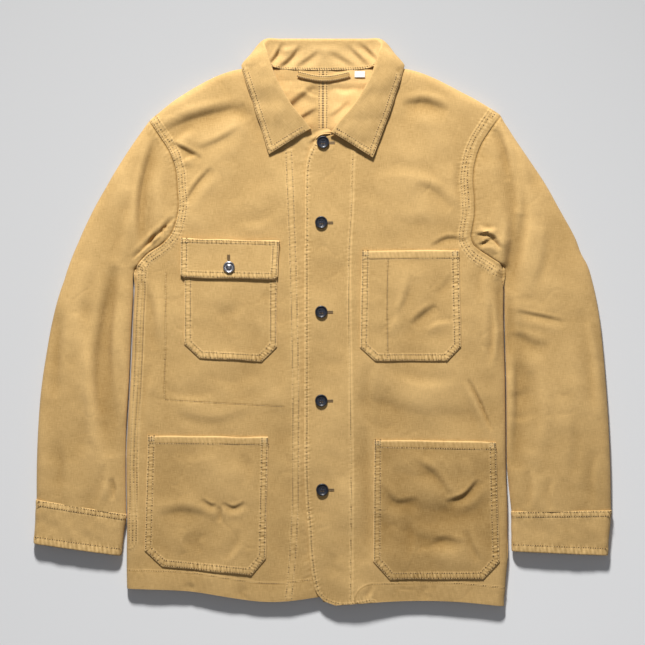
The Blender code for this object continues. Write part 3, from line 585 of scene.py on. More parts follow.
def weave_group():
    """Plain canvas weave: warp and weft threads pass over and under each other as the product of
    two sines, with slubs stretched along each thread and soft blotches from washing. Out come a
    tone from 0 to 1 and a height."""
    group = bpy.data.node_groups.new("canvas weave", "ShaderNodeTree")
    for name, kind in (("Threads", "NodeSocketFloat"), ("Wear_and_shading", "NodeSocketFloat")):
        group.interface.new_socket(name, in_out="INPUT", socket_type=kind)
    for name in ("Tone", "Height"):
        group.interface.new_socket(name, in_out="OUTPUT", socket_type="NodeSocketFloat")
    ins, outs = group.nodes.new("NodeGroupInput"), group.nodes.new("NodeGroupOutput")
    uv = node(group, "ShaderNodeUVMap", uv_map="Weave").outputs[0]
    place = node(group, "ShaderNodeTexCoord").outputs["Object"]
    parts = node(group, "ShaderNodeSeparateXYZ", Vector=uv)
    turns = maths(group, "MULTIPLY", ins.outputs["Threads"], 2 * np.pi)
    warp = maths(group, "SINE", maths(group, "MULTIPLY", parts.outputs["X"], turns))
    weft = maths(group, "SINE", maths(group, "MULTIPLY", parts.outputs["Y"], turns))
    over = maths(group, "MULTIPLY", warp, weft)

    def streaks(stretch, scale):
        """Noise stretched along the threads."""
        shape = node(group, "ShaderNodeVectorMath", operation="MULTIPLY")
        group.links.new(uv, shape.inputs[0])
        shape.inputs[1].default_value = stretch
        noise = node(group, "ShaderNodeTexNoise", Vector=shape.outputs[0], Scale=scale, Detail=2.0)
        return noise.outputs["Fac"]

    def blotches(scale, detail):
        """Soft noise about 0 that doesn't follow the threads."""
        noise = node(group, "ShaderNodeTexNoise", Vector=place, Scale=scale, Detail=detail)
        return maths(group, "SUBTRACT", noise.outputs["Fac"], 0.5)

    slubs = maths(group, "ADD", streaks((1600, 90, 1), 1.0), streaks((90, 1600, 1), 1.0))
    slubs = maths(group, "SUBTRACT", slubs, 1.0)
    tone = maths(group, "MULTIPLY_ADD", over, 0.05, 0.5)
    tone = maths(group, "MULTIPLY_ADD", slubs, 0.55, tone)
    tone = maths(group, "MULTIPLY_ADD", blotches(30.0, 3.0), 0.28, tone)
    tone = maths(group, "MULTIPLY_ADD", blotches(420.0, 2.0), 0.22, tone)
    # The tone takes in the wear and the painted light and shade of the mesh's attribute.
    tone = maths(group, "MULTIPLY_ADD", ins.outputs["Wear_and_shading"], 0.55, tone)
    height = maths(group, "MULTIPLY_ADD", slubs, 0.8, maths(group, "MULTIPLY", over, 0.35))
    height = maths(group, "MULTIPLY_ADD", blotches(110.0, 4.0), 3.0, height)
    group.links.new(tone, outs.inputs["Tone"])
    group.links.new(height, outs.inputs["Height"])
    return group


WEAVE = weave_group()
THREADS = 900.0  # pairs of threads in a metre


def new_finish(name, **values):
    """A material, its node tree and its shader, with these values on the shader's sockets."""
    made = bpy.data.materials.new(name)
    made.use_nodes = True
    shader = made.node_tree.nodes["Principled BSDF"]
    for key, value in values.items():
        shader.inputs[key.replace("_", " ")].default_value = value
    return made, made.node_tree, shader


def blend(tree, factor, shader, colours, places=(0.0, 1.0)):
    """The shader's colour goes from one to the other of two as the factor goes over the places."""
    ramps = node(tree, "ShaderNodeValToRGB")
    for element, colour, place in zip(ramps.color_ramp.elements, colours, places):
        element.color, element.position = (*colour, 1), place
    tree.links.new(factor, ramps.inputs[0])
    tree.links.new(ramps.outputs[0], shader.inputs["Base Color"])


def canvas_finish(name, deep, pale):
    """Canvas from its deep colour to its pale one, following the weave and the mesh's wear and painted
    shading: paler where worn and where light is painted, deeper where shade is painted in hollows.
    """
    made, tree, shader = new_finish(
        name, Roughness=0.88, Specular_IOR_Level=0.15, Sheen_Weight=0.12, Sheen_Roughness=0.5
    )
    painted_light_and_wear = node(tree, "ShaderNodeAttribute", attribute_name="wear_and_shading").outputs["Fac"]
    weave = tree.nodes.new("ShaderNodeGroup")
    weave.node_tree = WEAVE
    weave.inputs["Threads"].default_value = THREADS
    tree.links.new(painted_light_and_wear, weave.inputs["Wear_and_shading"])
    blend(tree, weave.outputs["Tone"], shader, (deep, pale))
    bump = node(tree, "ShaderNodeBump", Strength=0.6, Distance=0.00012)
    tree.links.new(weave.outputs["Height"], bump.inputs["Height"])
    tree.links.new(bump.outputs[0], shader.inputs["Normal"])
    return made


canvas = canvas_finish("canvas", (0.318, 0.185, 0.056), (0.75, 0.494, 0.203))
NEEDLE_SIDES, NEEDLE_RADIUS, NEEDLE_RIM, NEEDLE_DEPTH = 6, 1.05, 0.06, 0.35


def needle_holes(name, place, side, way):
    """The dents where the thread goes down: small shallow pyramids, base up, one before each stitch,
    joined, and coloured near black as painted shade in the holes."""
    turns = np.linspace(0, 2 * np.pi, NEEDLE_SIDES, endpoint=False)
    rim = place[:, None] + NEEDLE_RADIUS * (
        side[:, None] * np.cos(turns)[None, :, None] + way[:, None] * np.sin(turns)[None, :, None]
    )
    rim = rim + np.array([0.0, 0.0, NEEDLE_RIM])
    tip = place[:, None] - np.array([0.0, 0.0, NEEDLE_DEPTH])
    points = np.concatenate([rim, tip], axis=1)
    ring = np.arange(NEEDLE_SIDES)
    face = np.stack([ring, np.roll(ring, -1), ring * 0 + NEEDLE_SIDES], axis=-1)
    lid = np.stack([ring[1:-1] * 0, np.roll(ring, -1)[1:-1], ring[1:-1]], axis=-1)
    faces = np.concatenate([face, lid]) + (np.arange(len(place)) * (NEEDLE_SIDES + 1))[:, None, None]
    name += "_holes"
    made = shown(name, closed_mesh(name, points, faces.reshape(-1, 3).tolist()), needle_hole_shade)


def stitches(name, rows, finish, pitch=3.5, length=2.3, thick=0.85, seed=5):
    """Rows of thread as joined capsules. rows are lines in mm on the cloth, and each stitch is
    two tips and three rings of four points, laid along its row and half sunk in."""
    random = np.random.default_rng(seed)
    places, ways = [], []
    for row in rows:
        row = np.asarray(row, float)
        far = lengths(row)
        at = np.arange(pitch / 2, far[-1], pitch)
        ends = [placed(at + s, far, row) for s in (-0.7, 0.7)]
        places.append((ends[0] + ends[1]) / 2)
        ways.append(unit(ends[1] - ends[0]))
    place, way = np.concatenate(places), np.concatenate(ways)
    side = unit(np.cross(np.array([0.0, 0.0, 1.0]), way))
    up = np.cross(way, side)
    long, wide = length / 2, thick / 2
    lean = random.normal(0, 0.07, (len(place), 1))
    way, side = unit(way + side * lean), unit(side - way * lean)
    turns = np.radians([45, 135, 225, 315])
    ring = [
        (s * long * 0.62, np.cos(a) * wide * w, np.sin(a) * wide * w)
        for s, w in ((-1, 0.85), (0, 1.1), (1, 0.85))
        for a in turns
    ]
    shape = np.array([(-long, 0, -wide * 0.6)] + ring + [(long, 0, -wide * 0.6)])
    shape = shape[None] * random.uniform(0.9, 1.08, (len(place), 1, 1))
    points = (
        place[:, None]
        + way[:, None] * shape[..., :1]
        + side[:, None] * shape[..., 1:2]
        + up[:, None] * shape[..., 2:]
    )
    around = [(k, (k + 1) % 4) for k in range(4)]
    faces = [(0, 1 + b, 1 + a) for a, b in around]
    faces += [(r + a, r + b, r + 4 + b) for r in (1, 5) for a, b in around]
    faces += [(r + a, r + 4 + b, r + 4 + a) for r in (1, 5) for a, b in around]
    faces += [(13, 9 + a, 9 + b) for a, b in around]
    faces = np.array(faces)[None] + np.arange(len(place))[:, None, None] * 14
    needle_holes(name, place - way * pitch / 2, side, way)
    made = shown(name, closed_mesh(name, points, faces.reshape(-1, 3).tolist()), finish)


def near_grid(points, grid, columns):
    """Height of the nearest point of a grid, in plan, for each point of a line."""
    flat = grid[:, columns].reshape(-1, 3)
    away = np.hypot(points[:, :1] - flat[:, 0], points[:, 1:2] - flat[:, 1])
    near = np.argsort(away, axis=1)[:, :4]
    weight = 1 / (np.take_along_axis(away, near, axis=1) + 0.05)
    return (flat[near, 2] * weight).sum(axis=1) / weight.sum(axis=1)


def thread_finish(name, dark, light):
    """Spun sewing thread: fine bands of light and dark, and a soft shine."""
    made, tree, shader = new_finish(name, Roughness=0.6, Specular_IOR_Level=0.3)
    place = node(tree, "ShaderNodeTexCoord").outputs["Object"]
    noise = node(tree, "ShaderNodeTexNoise", Vector=place, Scale=900.0, Detail=2.0)
    blend(tree, noise.outputs["Fac"], shader, (dark, light), (0.3, 0.7))
    return made


gold_thread = thread_finish("thread_gold", (0.58, 0.39, 0.16), (0.86, 0.64, 0.33))
# Near-black colour painted into the needle holes as their shade.
needle_hole_shade = thread_finish("needle_hole_painted_shade", (0.08, 0.042, 0.014), (0.17, 0.098, 0.034))


def table_lines(table):
    """The four lines of a panel's table and its last column."""
    values = np.array(table, float)
    return values[:, :8].reshape(-1, 4, 2).transpose(1, 0, 2), values[:, 8]


def fold_steps(folded):
    """How far in each row's first columns are: EDGE_STEPS at a fold, and at a seam only its part
    on top, standing back."""
    under = np.where(np.arange(len(EDGE_STEPS)) < UNDER, folded[:, None], 1.0)
    return EDGE_STEPS[None] * under, SEAM_INSET * (1 - folded[:, None])


def section_knots(lines):
    """How far along a panel each of its sections is, as the mean of its lines."""
    spans = np.linalg.norm(np.diff(lines, axis=1), axis=2).mean(axis=0)
    return np.concatenate([[0.0], np.cumsum(spans)])


def sections_at(lines, knots, at):
    """A section over all the lines at each of these distances along them."""
    many = (len(lines), 1)
    return spline(lines, np.tile(knots, many), np.tile(at, many)).transpose(1, 0, 2)


def distance_in(sections):
    """How far in from the first line each point of each section is."""
    width = np.linalg.norm(np.diff(sections, axis=1), axis=2)
    return np.concatenate([np.zeros((len(width), 1)), np.cumsum(width, axis=1)], axis=1)


def panel_plan(lines, last, rows, cols):
    """A panel's plan as a grid, and how far each row is folded: rows follow the table's sections,
    and columns run from its side line inwards. Both start close together for the folds."""
    knots = section_knots(lines)
    at = np.concatenate([EDGE_STEPS, np.linspace(EDGE_STEPS[-1], knots[-1], rows + 1)[1:]])
    smooth = sections_at(lines, knots, at)
    folded = np.interp(at, knots, last)
    across = distance_in(smooth)
    steps, inset = fold_steps(folded)
    steps = steps + inset
    rest = np.linspace(0, 1, cols + 1)[1:]
    distance = np.concatenate([steps, steps[:, -1:] + (across[:, -1:] - steps[:, -1:]) * rest], axis=1)
    return spline(smooth, across, distance), folded


def front_surface(side, seams, folds):
    """The middle of a front's cloth as a function of the plan. Its wear and painted shading come with it.
    """

    def surface(x, y):
        height, wear_and_shading = sewn(x, y, seams)
        lap = LAP * (1 - ramp(x, LAP_FULL, LAP_END)) if side > 0 else 0.0
        folds_here = relief(x, y)
        top = FRONT_HEIGHT + lap + folds_here + height
        return lying(x, y, top, folds), wear_and_shading + fold_wear_and_shade(folds_here)

    return surface


def on_surface(surface, line, above=CANVAS / 2):
    """A plan line laid on the cloth, as points in mm."""
    line = np.asarray(line, float)
    far = lengths(line)
    x, y = placed(np.linspace(0, far[-1], max(2, int(far[-1] / ROW_STEP))), far, line).T
    return np.column_stack([x, y, surface(x, y)[0] + above])


def wall_sides(middle, thickness):
    """The upper and the under side of a wall about its middle."""
    normals = grid_normals(middle)
    if normals[..., 2].sum() < 0:
        normals = -normals
    return middle + normals * thickness / 2, middle - normals * thickness / 2


left_lines, left_folded = table_lines(LEFT_PANEL)
right_lines, right_folded = table_lines(RIGHT_PANEL)
UNDERARM = 11  # first row of both tables whose side is folded
left_armhole = curve(left_lines[0][: UNDERARM + 1])
right_armhole = curve(right_lines[0][: UNDERARM + 1])
left_shoulder = curve(np.concatenate([left_lines[::-1, 0], [(263, 290), (278, 267)]]))
right_shoulder = curve(np.concatenate([right_lines[::-1, 0], [(-260, 281), (-277, 257)]]))
left_side = left_lines[0][UNDERARM:]
right_side = right_lines[0][UNDERARM:]

HEM = 28.0
left_edge = curve(np.concatenate([left_lines[3][5:], left_lines[2:3, -1]]), 3.0)
right_hem = curve(right_lines[:, -1])
left_facing = [(44, 250), (43, 235), (41, 164), (38.6, 125), (38.7, -69), (40.5, -188), (40, -408)]
right_facing = [(-54, 256), (-49, 132), (-46, 33), (-43.5, -117), (-46.5, -315), (-49, -352)]
right_facing.append((-54, -402))
pocket_bag = [(-228, 72), (-228, 6), (-230, -112), (-150, -117), (-57, -122)]
side_strip = [(-268, 76), (-270, 33), (-272.5, -30), (-276, -110), (-280, -190), (-281, -260)]
side_strip.append((-282, -318))
left_hem = curve(left_lines[:3, -1][::-1])
HEM_SEAM = dict(band=(0, HEM), rows=(HEM - 1.5,), lift=0.4, rope=0.03, size=9.0, pale=0.0)
ARMHOLE_SEAM = dict(rope=0.24, size=4.4)  # three rows, and fine puckers

left_seams = [
    dict(line=left_armhole[::-1], band=(5.5, 19), rows=(7.5, 12.0, 16.5), lift=0.5, pale=0.5, rim=0.1)
    | ARMHOLE_SEAM,
    dict(line=left_edge, band=(0, 5), rows=(3.6,), lift=0.4, rope=0.30, reach=4.0, size=5.2),
    dict(line=curve(left_facing), band=(-1.5, 3), rows=(0.0,), lift=0.25, rope=0.12, reach=4.0, size=7.0),
    dict(line=left_hem) | HEM_SEAM,
]
right_seams = [
    dict(line=right_armhole, band=(-1, 13), rows=(2.0, 6.5, 11.0), lift=0.6, pale=0.4, rim=0.2)
    | ARMHOLE_SEAM,
    dict(line=curve(side_strip), band=(0, 12.5), rows=(1.6, 6.2, 10.8), lift=0.9, rope=0.15, size=5.0),
    dict(line=curve(right_facing), band=(-1, 9), rows=(0.0, 8.0), lift=0.3, rope=0.17, reach=2.0, size=6.0),
    dict(line=right_hem) | HEM_SEAM,
    dict(line=pocket_bag, band=(-0.8, 0.8), rows=(0.0,), lift=0.0, rope=0.12, reach=3.0, size=7.0),
    dict(line=left_edge, band=(-9, -1), rows=(), lift=0.0, rope=0.1, size=8.0, groove=0.0),
]
left_surface = front_surface(1, left_seams, [left_shoulder, left_side])
right_surface = front_surface(-1, right_seams, [right_shoulder, right_side])

FRONT_ROWS, FRONT_COLS = 451, 151
front_rows = []
for side, lines, folded, surface, seams in (
    ("left", left_lines, left_folded, left_surface, left_seams),
    ("right", right_lines, right_folded, right_surface, right_seams),
):
    plan, fold_rows = panel_plan(lines, folded, FRONT_ROWS, FRONT_COLS)
    height, wear_and_shading = surface(plan[..., 0], plan[..., 1])
    middle = turned_under(np.dstack([plan, height]), fold_rows, True)
    top, under = wall_sides(middle, CANVAS)
    front = cloth(f"front_{side}_cloth", top, under, plan, wear_and_shading, canvas)
    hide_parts(f"front_{side}")
    front_rows += [on_surface(surface, beside(seam["line"], row)) for seam in seams for row in seam["rows"]]
stitches("front_stitches", front_rows, gold_thread)


# ---- The sleeves -------------------------------------------------------------------------
# Each sleeve is a tube of the same canvas in two pieces, the top one set into the armhole and
# turned over at both edges, and the under one flat on the surface.

SLEEVE_CROWN = 3.0
# The outer edge from the shoulder down to the height of the underarm.
LEFT_OUTER = [(263, 290), (278, 267), (293, 245), (306, 226), (318, 208), (330, 188)]
LEFT_OUTER += [(341, 168), (350, 152), (359, 136), (367, 120), (374, 101)]
RIGHT_OUTER = [(-260, 281), (-277, 257), (-292, 234), (-305, 213), (-317, 192), (-330, 169)]
RIGHT_OUTER += [(-340, 149), (-348, 132), (-354, 118), (-361, 102), (-370, 78)]
# A row for each section below the underarm: the inner and the outer fold.
LEFT_SLEEVE = [
    (264, 80, 384, 82),
    (264.5, 52, 392, 55),
    (264.5, 15, 400, 15),
    (265.5, -35, 406, -35),
    (267, -95, 411, -95),
    (267.5, -160, 415, -160),
    (268.5, -215, 417, -215),
    (274.5, -275, 418, -273.5),
]
RIGHT_SLEEVE = [
    (-274, 76, -375, 62),
    (-276.5, 42, -382, 42),
    (-278.5, 5, -392, 5),
    (-280.5, -42, -401, -44),
    (-283, -95, -408.5, -95),
    (-286.5, -150, -412.5, -143),
    (-287.5, -210, -415, -200),
    (-286.5, -279, -415.5, -258),
]
SLEEVE_ROWS, SLEEVE_COLS, UNDER_COLS = 291, 57, 13
SLEEVE_SIDE = 55.0  # the crown is full this far from both sides
SLEEVE_REACH = 60.0


def sleeve_lines(armhole, outer, table, folded):
    """The sleeve's inner line down the armhole and its fold, and its outer line."""
    table = np.array(table, float)
    inner = np.concatenate([armhole[:UNDERARM], table[:, :2]])
    outer = np.concatenate([outer, table[:, 2:]])
    last = np.concatenate([folded[:UNDERARM], np.ones(len(table))])
    return np.stack([inner, outer]), last


def sleeve_surface(seams, folds, sides):
    """The middle of the sleeve's cloth: crowned between its two sides."""

    def surface(x, y):
        height, wear_and_shading = sewn(x, y, seams)
        away = np.full(x.shape, SLEEVE_REACH)
        for line in sides:
            away = np.minimum(away, np.abs(nearest(x, y, line, SLEEVE_REACH + 2)[0]))
        crown = SLEEVE_CROWN * np.sin(np.pi / 2 * np.clip(away / SLEEVE_SIDE, 0, 1))
        folds_here = relief(x, y)
        top = FRONT_HEIGHT + crown + folds_here + height
        return lying(x, y, top, folds), wear_and_shading + fold_wear_and_shade(folds_here)

    return surface


for side, panel, outer, table, folded in (
    ("left", left_lines, LEFT_OUTER, LEFT_SLEEVE, left_folded),
    ("right", right_lines, RIGHT_OUTER, RIGHT_SLEEVE, right_folded),
):
    lines, last = sleeve_lines(panel[0], outer, table, folded)
    inner_fold = lines[0][UNDERARM:]
    outer_fold = curve(np.concatenate([panel[1:2, 0], panel[:1, 0], lines[1]]))
    armhole = curve(panel[0][: UNDERARM + 1])[::-1 if side == "left" else 1]
    seams = [dict(line=armhole, band=(-9, -1), rows=(-1.4,), lift=0.0, rope=0.12, size=7.0, groove=1.3)]
    surface = sleeve_surface(seams, [outer_fold, inner_fold], [outer_fold, curve(lines[0])])
    knots = section_knots(lines)
    at = np.concatenate([EDGE_STEPS, np.linspace(ROLL, knots[-1], SLEEVE_ROWS + 1)[1:]])
    smooth = sections_at(lines, knots, at)
    fold_rows = np.interp(at, knots, last)
    width = np.linalg.norm(smooth[:, 1] - smooth[:, 0], axis=1)[:, None]
    reach = np.minimum(1.0, 0.3 * width / ROLL)
    inner_steps, inset = fold_steps(fold_rows)
    inner_steps = (inner_steps * reach + inset) / width
    outer_steps = 1 - (EDGE_STEPS[None] * reach / width)[:, ::-1]
    rest = np.linspace(0, 1, SLEEVE_COLS + 1)[1:-1]
    middle_steps = inner_steps[:, -1:] + (outer_steps[:, :1] - inner_steps[:, -1:]) * rest
    share = np.concatenate([inner_steps, middle_steps, outer_steps], axis=1)[..., None]
    plan = smooth[:, :1] + (smooth[:, 1:] - smooth[:, :1]) * share
    height, wear_and_shading = surface(plan[..., 0], plan[..., 1])
    middle = turned_under(np.dstack([plan, height]), fold_rows, True)
    middle = turned_under(middle[:, ::-1], np.ones(len(middle)), False)[:, ::-1]
    top, under = wall_sides(middle, CANVAS)
    sleeve = cloth(f"sleeve_{side}_top_cloth", top, under, plan, wear_and_shading, canvas, step=3)
    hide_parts(f"sleeve_{side}_top")
    inset = (TURN + 0.3) / width
    share = inset + (1 - 2 * inset) * np.linspace(0, 1, UNDER_COLS)[None]
    flat = (smooth[:, :1] + (smooth[:, 1:] - smooth[:, :1]) * share[..., None])[UNDER::4]
    flat = flat[: (len(flat) - 1) // 3 * 3 + 1]
    flat[-1] = plan[-1, np.linspace(UNDER, plan.shape[1] - 1 - UNDER, UNDER_COLS).astype(int)]
    low = np.dstack([flat, np.full(flat.shape[:2], FLOOR_LAYER)])
    lift = np.array([0.0, 0.0, FLOOR_LAYER - 0.05])
    name = f"sleeve_{side}_under_cloth"
    below = cloth(name, low + lift, low - lift, flat, flat[..., 0] * 0, canvas, step=3)
    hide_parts(f"sleeve_{side}_under")


# ---- The backs ---------------------------------------------------------------------------
# Two panels of the canvas joined by a felled centre seam. They lie on the surface, and show at
# the neck from their inner side.

BACK_NECK_ROWS = (366.0, 350.0, 338.0, 312.0, 288.0)
BACK_NECK_SIDE = (79.0, 368.5)
BACK_INSET = 3.3
NECK_LENGTH = 110  # the rows are closer together down to here
NECK_SWELL = 5.5  # the left back rises this much towards the fronts' neckline
NECK_LEAN = 5.0  # and the right one rises this much towards the collar
NECK_CREASES = [
    (-66, 296, -40, 318, -10, 342, 8, 1.7),
    (-44, 288, -24, 300, -7, 310, 5, 1.0),
    (-30, 340, -20, 330, -6, 326, 4, -0.7),
    (10, 296, 22, 304, 40, 320, 6, 0.9),
    (14, 338, 30, 330, 50, 336, 7, -0.8),
]
centre_rows = []
for side, sign, lines in (("left", 1, left_lines), ("right", -1, right_lines)):
    side_line, outer, inner, front = (line.copy() for line in lines)
    centre = np.column_stack([np.full(len(front), sign * 0.2), front[:, 1]])
    centre[: len(BACK_NECK_ROWS), 1] = BACK_NECK_ROWS
    hollow = (inner + centre) / 2
    hollow[0] = (sign * BACK_NECK_SIDE[0], BACK_NECK_SIDE[1])
    for line in (inner, hollow):
        line[1:3, 1] = (350.0, 338.0)
    side_line[:, 0] -= sign * BACK_INSET
    for line in (side_line, outer):
        line[0, 1] -= BACK_INSET
    five = np.stack([side_line, outer, inner, hollow, centre])
    five[:, -1, 1] += 3.0
    knots = section_knots(five)
    near_neck = np.linspace(0, NECK_LENGTH, 55)[:-1]
    at = np.concatenate([near_neck, np.linspace(NECK_LENGTH, knots[-1], 107)])
    smooth = sections_at(five, knots, at)
    across = distance_in(smooth)
    share = np.concatenate([np.linspace(0, 0.72, 37)[:-1], np.linspace(0.72, 1, 49)])[None]
    plan = spline(smooth, across, across[:, -1:] * share)
    x, y = plan[..., 0], plan[..., 1]
    from_centre = np.abs(x)
    band = (1 - ramp(from_centre, 6.2, 7.2)) * (1 - ramp(-y, -262, -250))
    rows_there = sum(np.exp(-(((from_centre - row) / 1.0) ** 2)) for row in (0.6, 5.2))
    puckers = rope(y, x, 6.0, 77) * np.exp(-((from_centre / 9.0) ** 2))
    neck_part = ramp(y, 240, 290)
    height = back_height(x, y) + neck_part * (0.5 * band - 0.2 * rows_there + 0.15 * puckers)
    height += neck_part * 0.35 * (ripple(x, y, 30.0, 8) + 1.0)
    swell = NECK_SWELL * np.exp(-(((x - 30) / 34) ** 2)) * ramp(-y, -350, -296) * ramp(y, 262, 286)
    lean = NECK_LEAN * ramp(-x, 0, 52) * ramp(-y, -352, -334) * ramp(y, 272, 334)
    in_neck = ramp(-y, -352, -340) * ramp(y, 262, 290)
    height += swell + lean + in_neck * (creased(x, y, NECK_CREASES) + 1.5)
    # Colour here is partly painted light and shade: the right half is painted paler where light falls and
    # the stitch rows darker, as shade; the band is paler from wear, and the puckers partly from wear.
    wear_and_shading = neck_part * (0.05 + 0.6 * ramp(x, -6, 30) + 0.4 * band - 0.35 * rows_there + 0.3 * puckers)
    top = np.dstack([plan, height + FLOOR_LAYER])
    under = np.dstack([plan, back_height(x, y) - FLOOR_LAYER])
    back = cloth(f"back_{side}_cloth", top, under, plan, wear_and_shading, canvas)
    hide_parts(f"back_{side}")
    for row in (0.8, 5.4):
        line = np.column_stack([np.full(40, sign * row), np.linspace(364, 262, 40)])
        centre_rows.append(np.column_stack([line, near_grid(line, top, slice(-60, None))]))
stitches("centre_back_stitches", centre_rows, gold_thread, seed=9)


# ---- The patch pockets -------------------------------------------------------------------
# Four patches of the canvas with cut lower corners, hemmed at the top and sewn down with two
# rows of stitches, and bar tacks at the upper corners.

# The left and the right edge of each pocket, from the top to the bottom of its cut corner, its hem, and how
# much paler its cloth is painted: below 0 the hip pockets are painted darker, as shade.
POCKETS = {
    "chest_pocket_left": (
        "left", [(56, 104), (53.5, -36), (76, -56)], [(197, 105), (200, -35), (180, -56)], 13.0, 0.0
    ),
    "chest_pocket_right": (
        "right", [(-201, 104), (-201, -31), (-179, -52)], [(-66, 104), (-67, -35), (-89, -57)], 13.0, 0.0
    ),
    "hip_pocket_left": (
        "left", [(74, -170), (73, -346), (97, -373)], [(251, -173), (256, -347), (232, -372)], 12.0, -0.4
    ),
    "hip_pocket_right": (
        "right", [(-254, -164), (-259, -330), (-233, -354)], [(-79, -166), (-83, -342), (-104, -367)],
        12.0, -0.1,
    ),
}
PEN_SLOT = [(94, 92), (93, 10), (94, -54)]
TACK_BARS, TACK_STEP, TACK_WIDTH = 7, 0.9, 7.5
POCKET_ABOVE = CANVAS / 2 + 0.3  # from the front's middle to the pocket's under side


def body_height(side):
    """The front's middle surface without its seams."""
    folds = [left_side] if side == "left" else [right_side]
    plain = front_surface(1 if side == "left" else -1, [], folds)
    return lambda x, y: plain(x, y)[0]


def patch_plan(left, right, spacing=1.5):
    """A grid between two edges. Its rows are close at the top and bottom and its columns at the
    sides, so that the edges can be round."""
    left, right = np.array(left, float), np.array(right, float)
    straight = np.linalg.norm(left[1] - left[0])
    corner = np.linalg.norm(left[2] - left[1])
    edge = np.array([0.0, 0.35, 0.9]) / straight
    count = int(straight / spacing)
    lengths = [np.concatenate([edge, np.linspace(edge[-1], 1, count)[1:]])]
    lengths.append(1 + np.linspace(0, 1, int(corner / 1.4))[1:] * (1 - 0.9 / corner))
    lengths.append([2 - 0.35 / corner, 2.0])
    down = np.concatenate(lengths)
    while (len(down) - 1) % 4:
        down = np.sort(np.append(down, (down[5] + down[6]) / 2 + 0.001 * len(down)))
    width = np.linalg.norm(right[1] - left[1])
    edge = np.array([0.0, 0.35, 0.9]) / width
    count = int(width / spacing) // 4 * 4 - 3
    over = np.concatenate([edge, np.linspace(edge[-1], 1 - edge[-1], count)[1:-1], 1 - edge[::-1]])
    while (len(over) - 1) % 4:
        over = np.sort(np.append(over, (over[5] + over[6]) / 2 + 0.0005 * len(over)))
    knots = np.arange(3.0)
    ends = [np.column_stack([np.interp(down, knots, line[:, k]) for k in (0, 1)]) for line in (left, right)]
    return ends[0][:, None] + (ends[1] - ends[0])[:, None] * over[None, :, None]


def edge_round(x, y, outline, depth=0.55):
    """How far a turned edge falls away within about a millimetre of the outline, and how much paler it is
    within about two: partly wear, partly a painted highlight on the rounded edge.
    """
    away = np.abs(nearest(x, y, outline, 8.0)[0])
    # Paler edge: partly wear, partly a painted highlight.
    painted_light_and_wear = 0.9 * np.exp(-((away / 1.8) ** 2)) * (0.75 + 0.25 * ripple(x, y, 13.0, 71))
    return -depth * np.exp(-((away / 0.8) ** 1.5)), painted_light_and_wear


pocket_rows, tack_rows = [], []
for name, (side, left, right, hem, painted_shade_tone) in POCKETS.items():
    base = body_height(side)
    plan = patch_plan(left, right)
    x, y = plan[..., 0], plan[..., 1]
    plan = plan + 0.5 * np.dstack([ripple(x, y, 60, 31), ripple(x, y, 60, 32)])
    x, y = plan[..., 0], plan[..., 1]
    around = np.concatenate([plan[:, 0], plan[-1, 1:-1], plan[::-1, -1]])[::2]
    outline = np.array(left + right[::-1], float)
    mouth = np.array([right[0], left[0]], float)
    seams = [
        dict(line=outline, band=(0, 10.4), rows=(1.9, 9.2), lift=0.5, rope=0.38, reach=0.3, size=4.8),
        dict(line=mouth, band=(0, hem), rows=(hem - 1.2,), lift=0.5, rope=0.12, reach=1.0, size=6.0),
    ]
    if name == "chest_pocket_left":
        seams.append(dict(line=PEN_SLOT, band=(-0.8, 0.8), rows=(0.0,), lift=0.0, rope=0.14))

    def surface(x, y):
        height, wear_and_shading = sewn(x, y, seams)
        return base(x, y) + POCKET_ABOVE + CANVAS + height, wear_and_shading

    height, wear_and_shading = surface(x, y)
    fall, painted_light_and_wear = edge_round(x, y, np.concatenate([around, plan[0, ::-1][::2]]))
    # The hip pockets' cloth is painted darker here as shade; the edge is paler from wear and a painted
    # highlight, and the folds carry fold wear and painted shade.
    height, wear_and_shading = height + fall, wear_and_shading + painted_light_and_wear + fold_wear_and_shade(relief(x, y)) + painted_shade_tone
    top = np.dstack([plan, height])
    under = np.dstack([plan, base(x, y) + POCKET_ABOVE])
    patch = cloth(f"{name}_cloth", top, under, plan, wear_and_shading, canvas)
    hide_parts(name)
    for seam in seams:
        for row in seam["rows"]:
            pocket_rows.append(on_surface(surface, beside(seam["line"], row), above=0.05))
    for corner, inward in ((left[0], 1), (right[0], -1)):
        for k in range(TACK_BARS):
            start = np.array([corner[0] + inward * 2.0, corner[1] - 2 - k * TACK_STEP])
            bar = np.array([start, start + [inward * TACK_WIDTH, 0.0]])
            tack_rows.append(on_surface(surface, bar, above=0.15))
stitches("pocket_stitches", pocket_rows, gold_thread, seed=11)
stitches("pocket_bar_tacks", tack_rows, gold_thread, pitch=3.6, length=3.8, thick=0.7, seed=12)


# ---- The flap ----------------------------------------------------------------------------
# Two layers of the canvas, turned and stitched twice round, sewn down above the right chest
# pocket and buttoned to it.

FLAP_THICK = 2.0
FLAP_LEFT = [(-206, 122), (-206.5, 70), (-202, 65)]
FLAP_RIGHT = [(-63, 118), (-66, 67), (-71, 62)]
FLAP_ABOVE = POCKET_ABOVE + CANVAS + 0.75  # its under side clears the pocket's raised seams

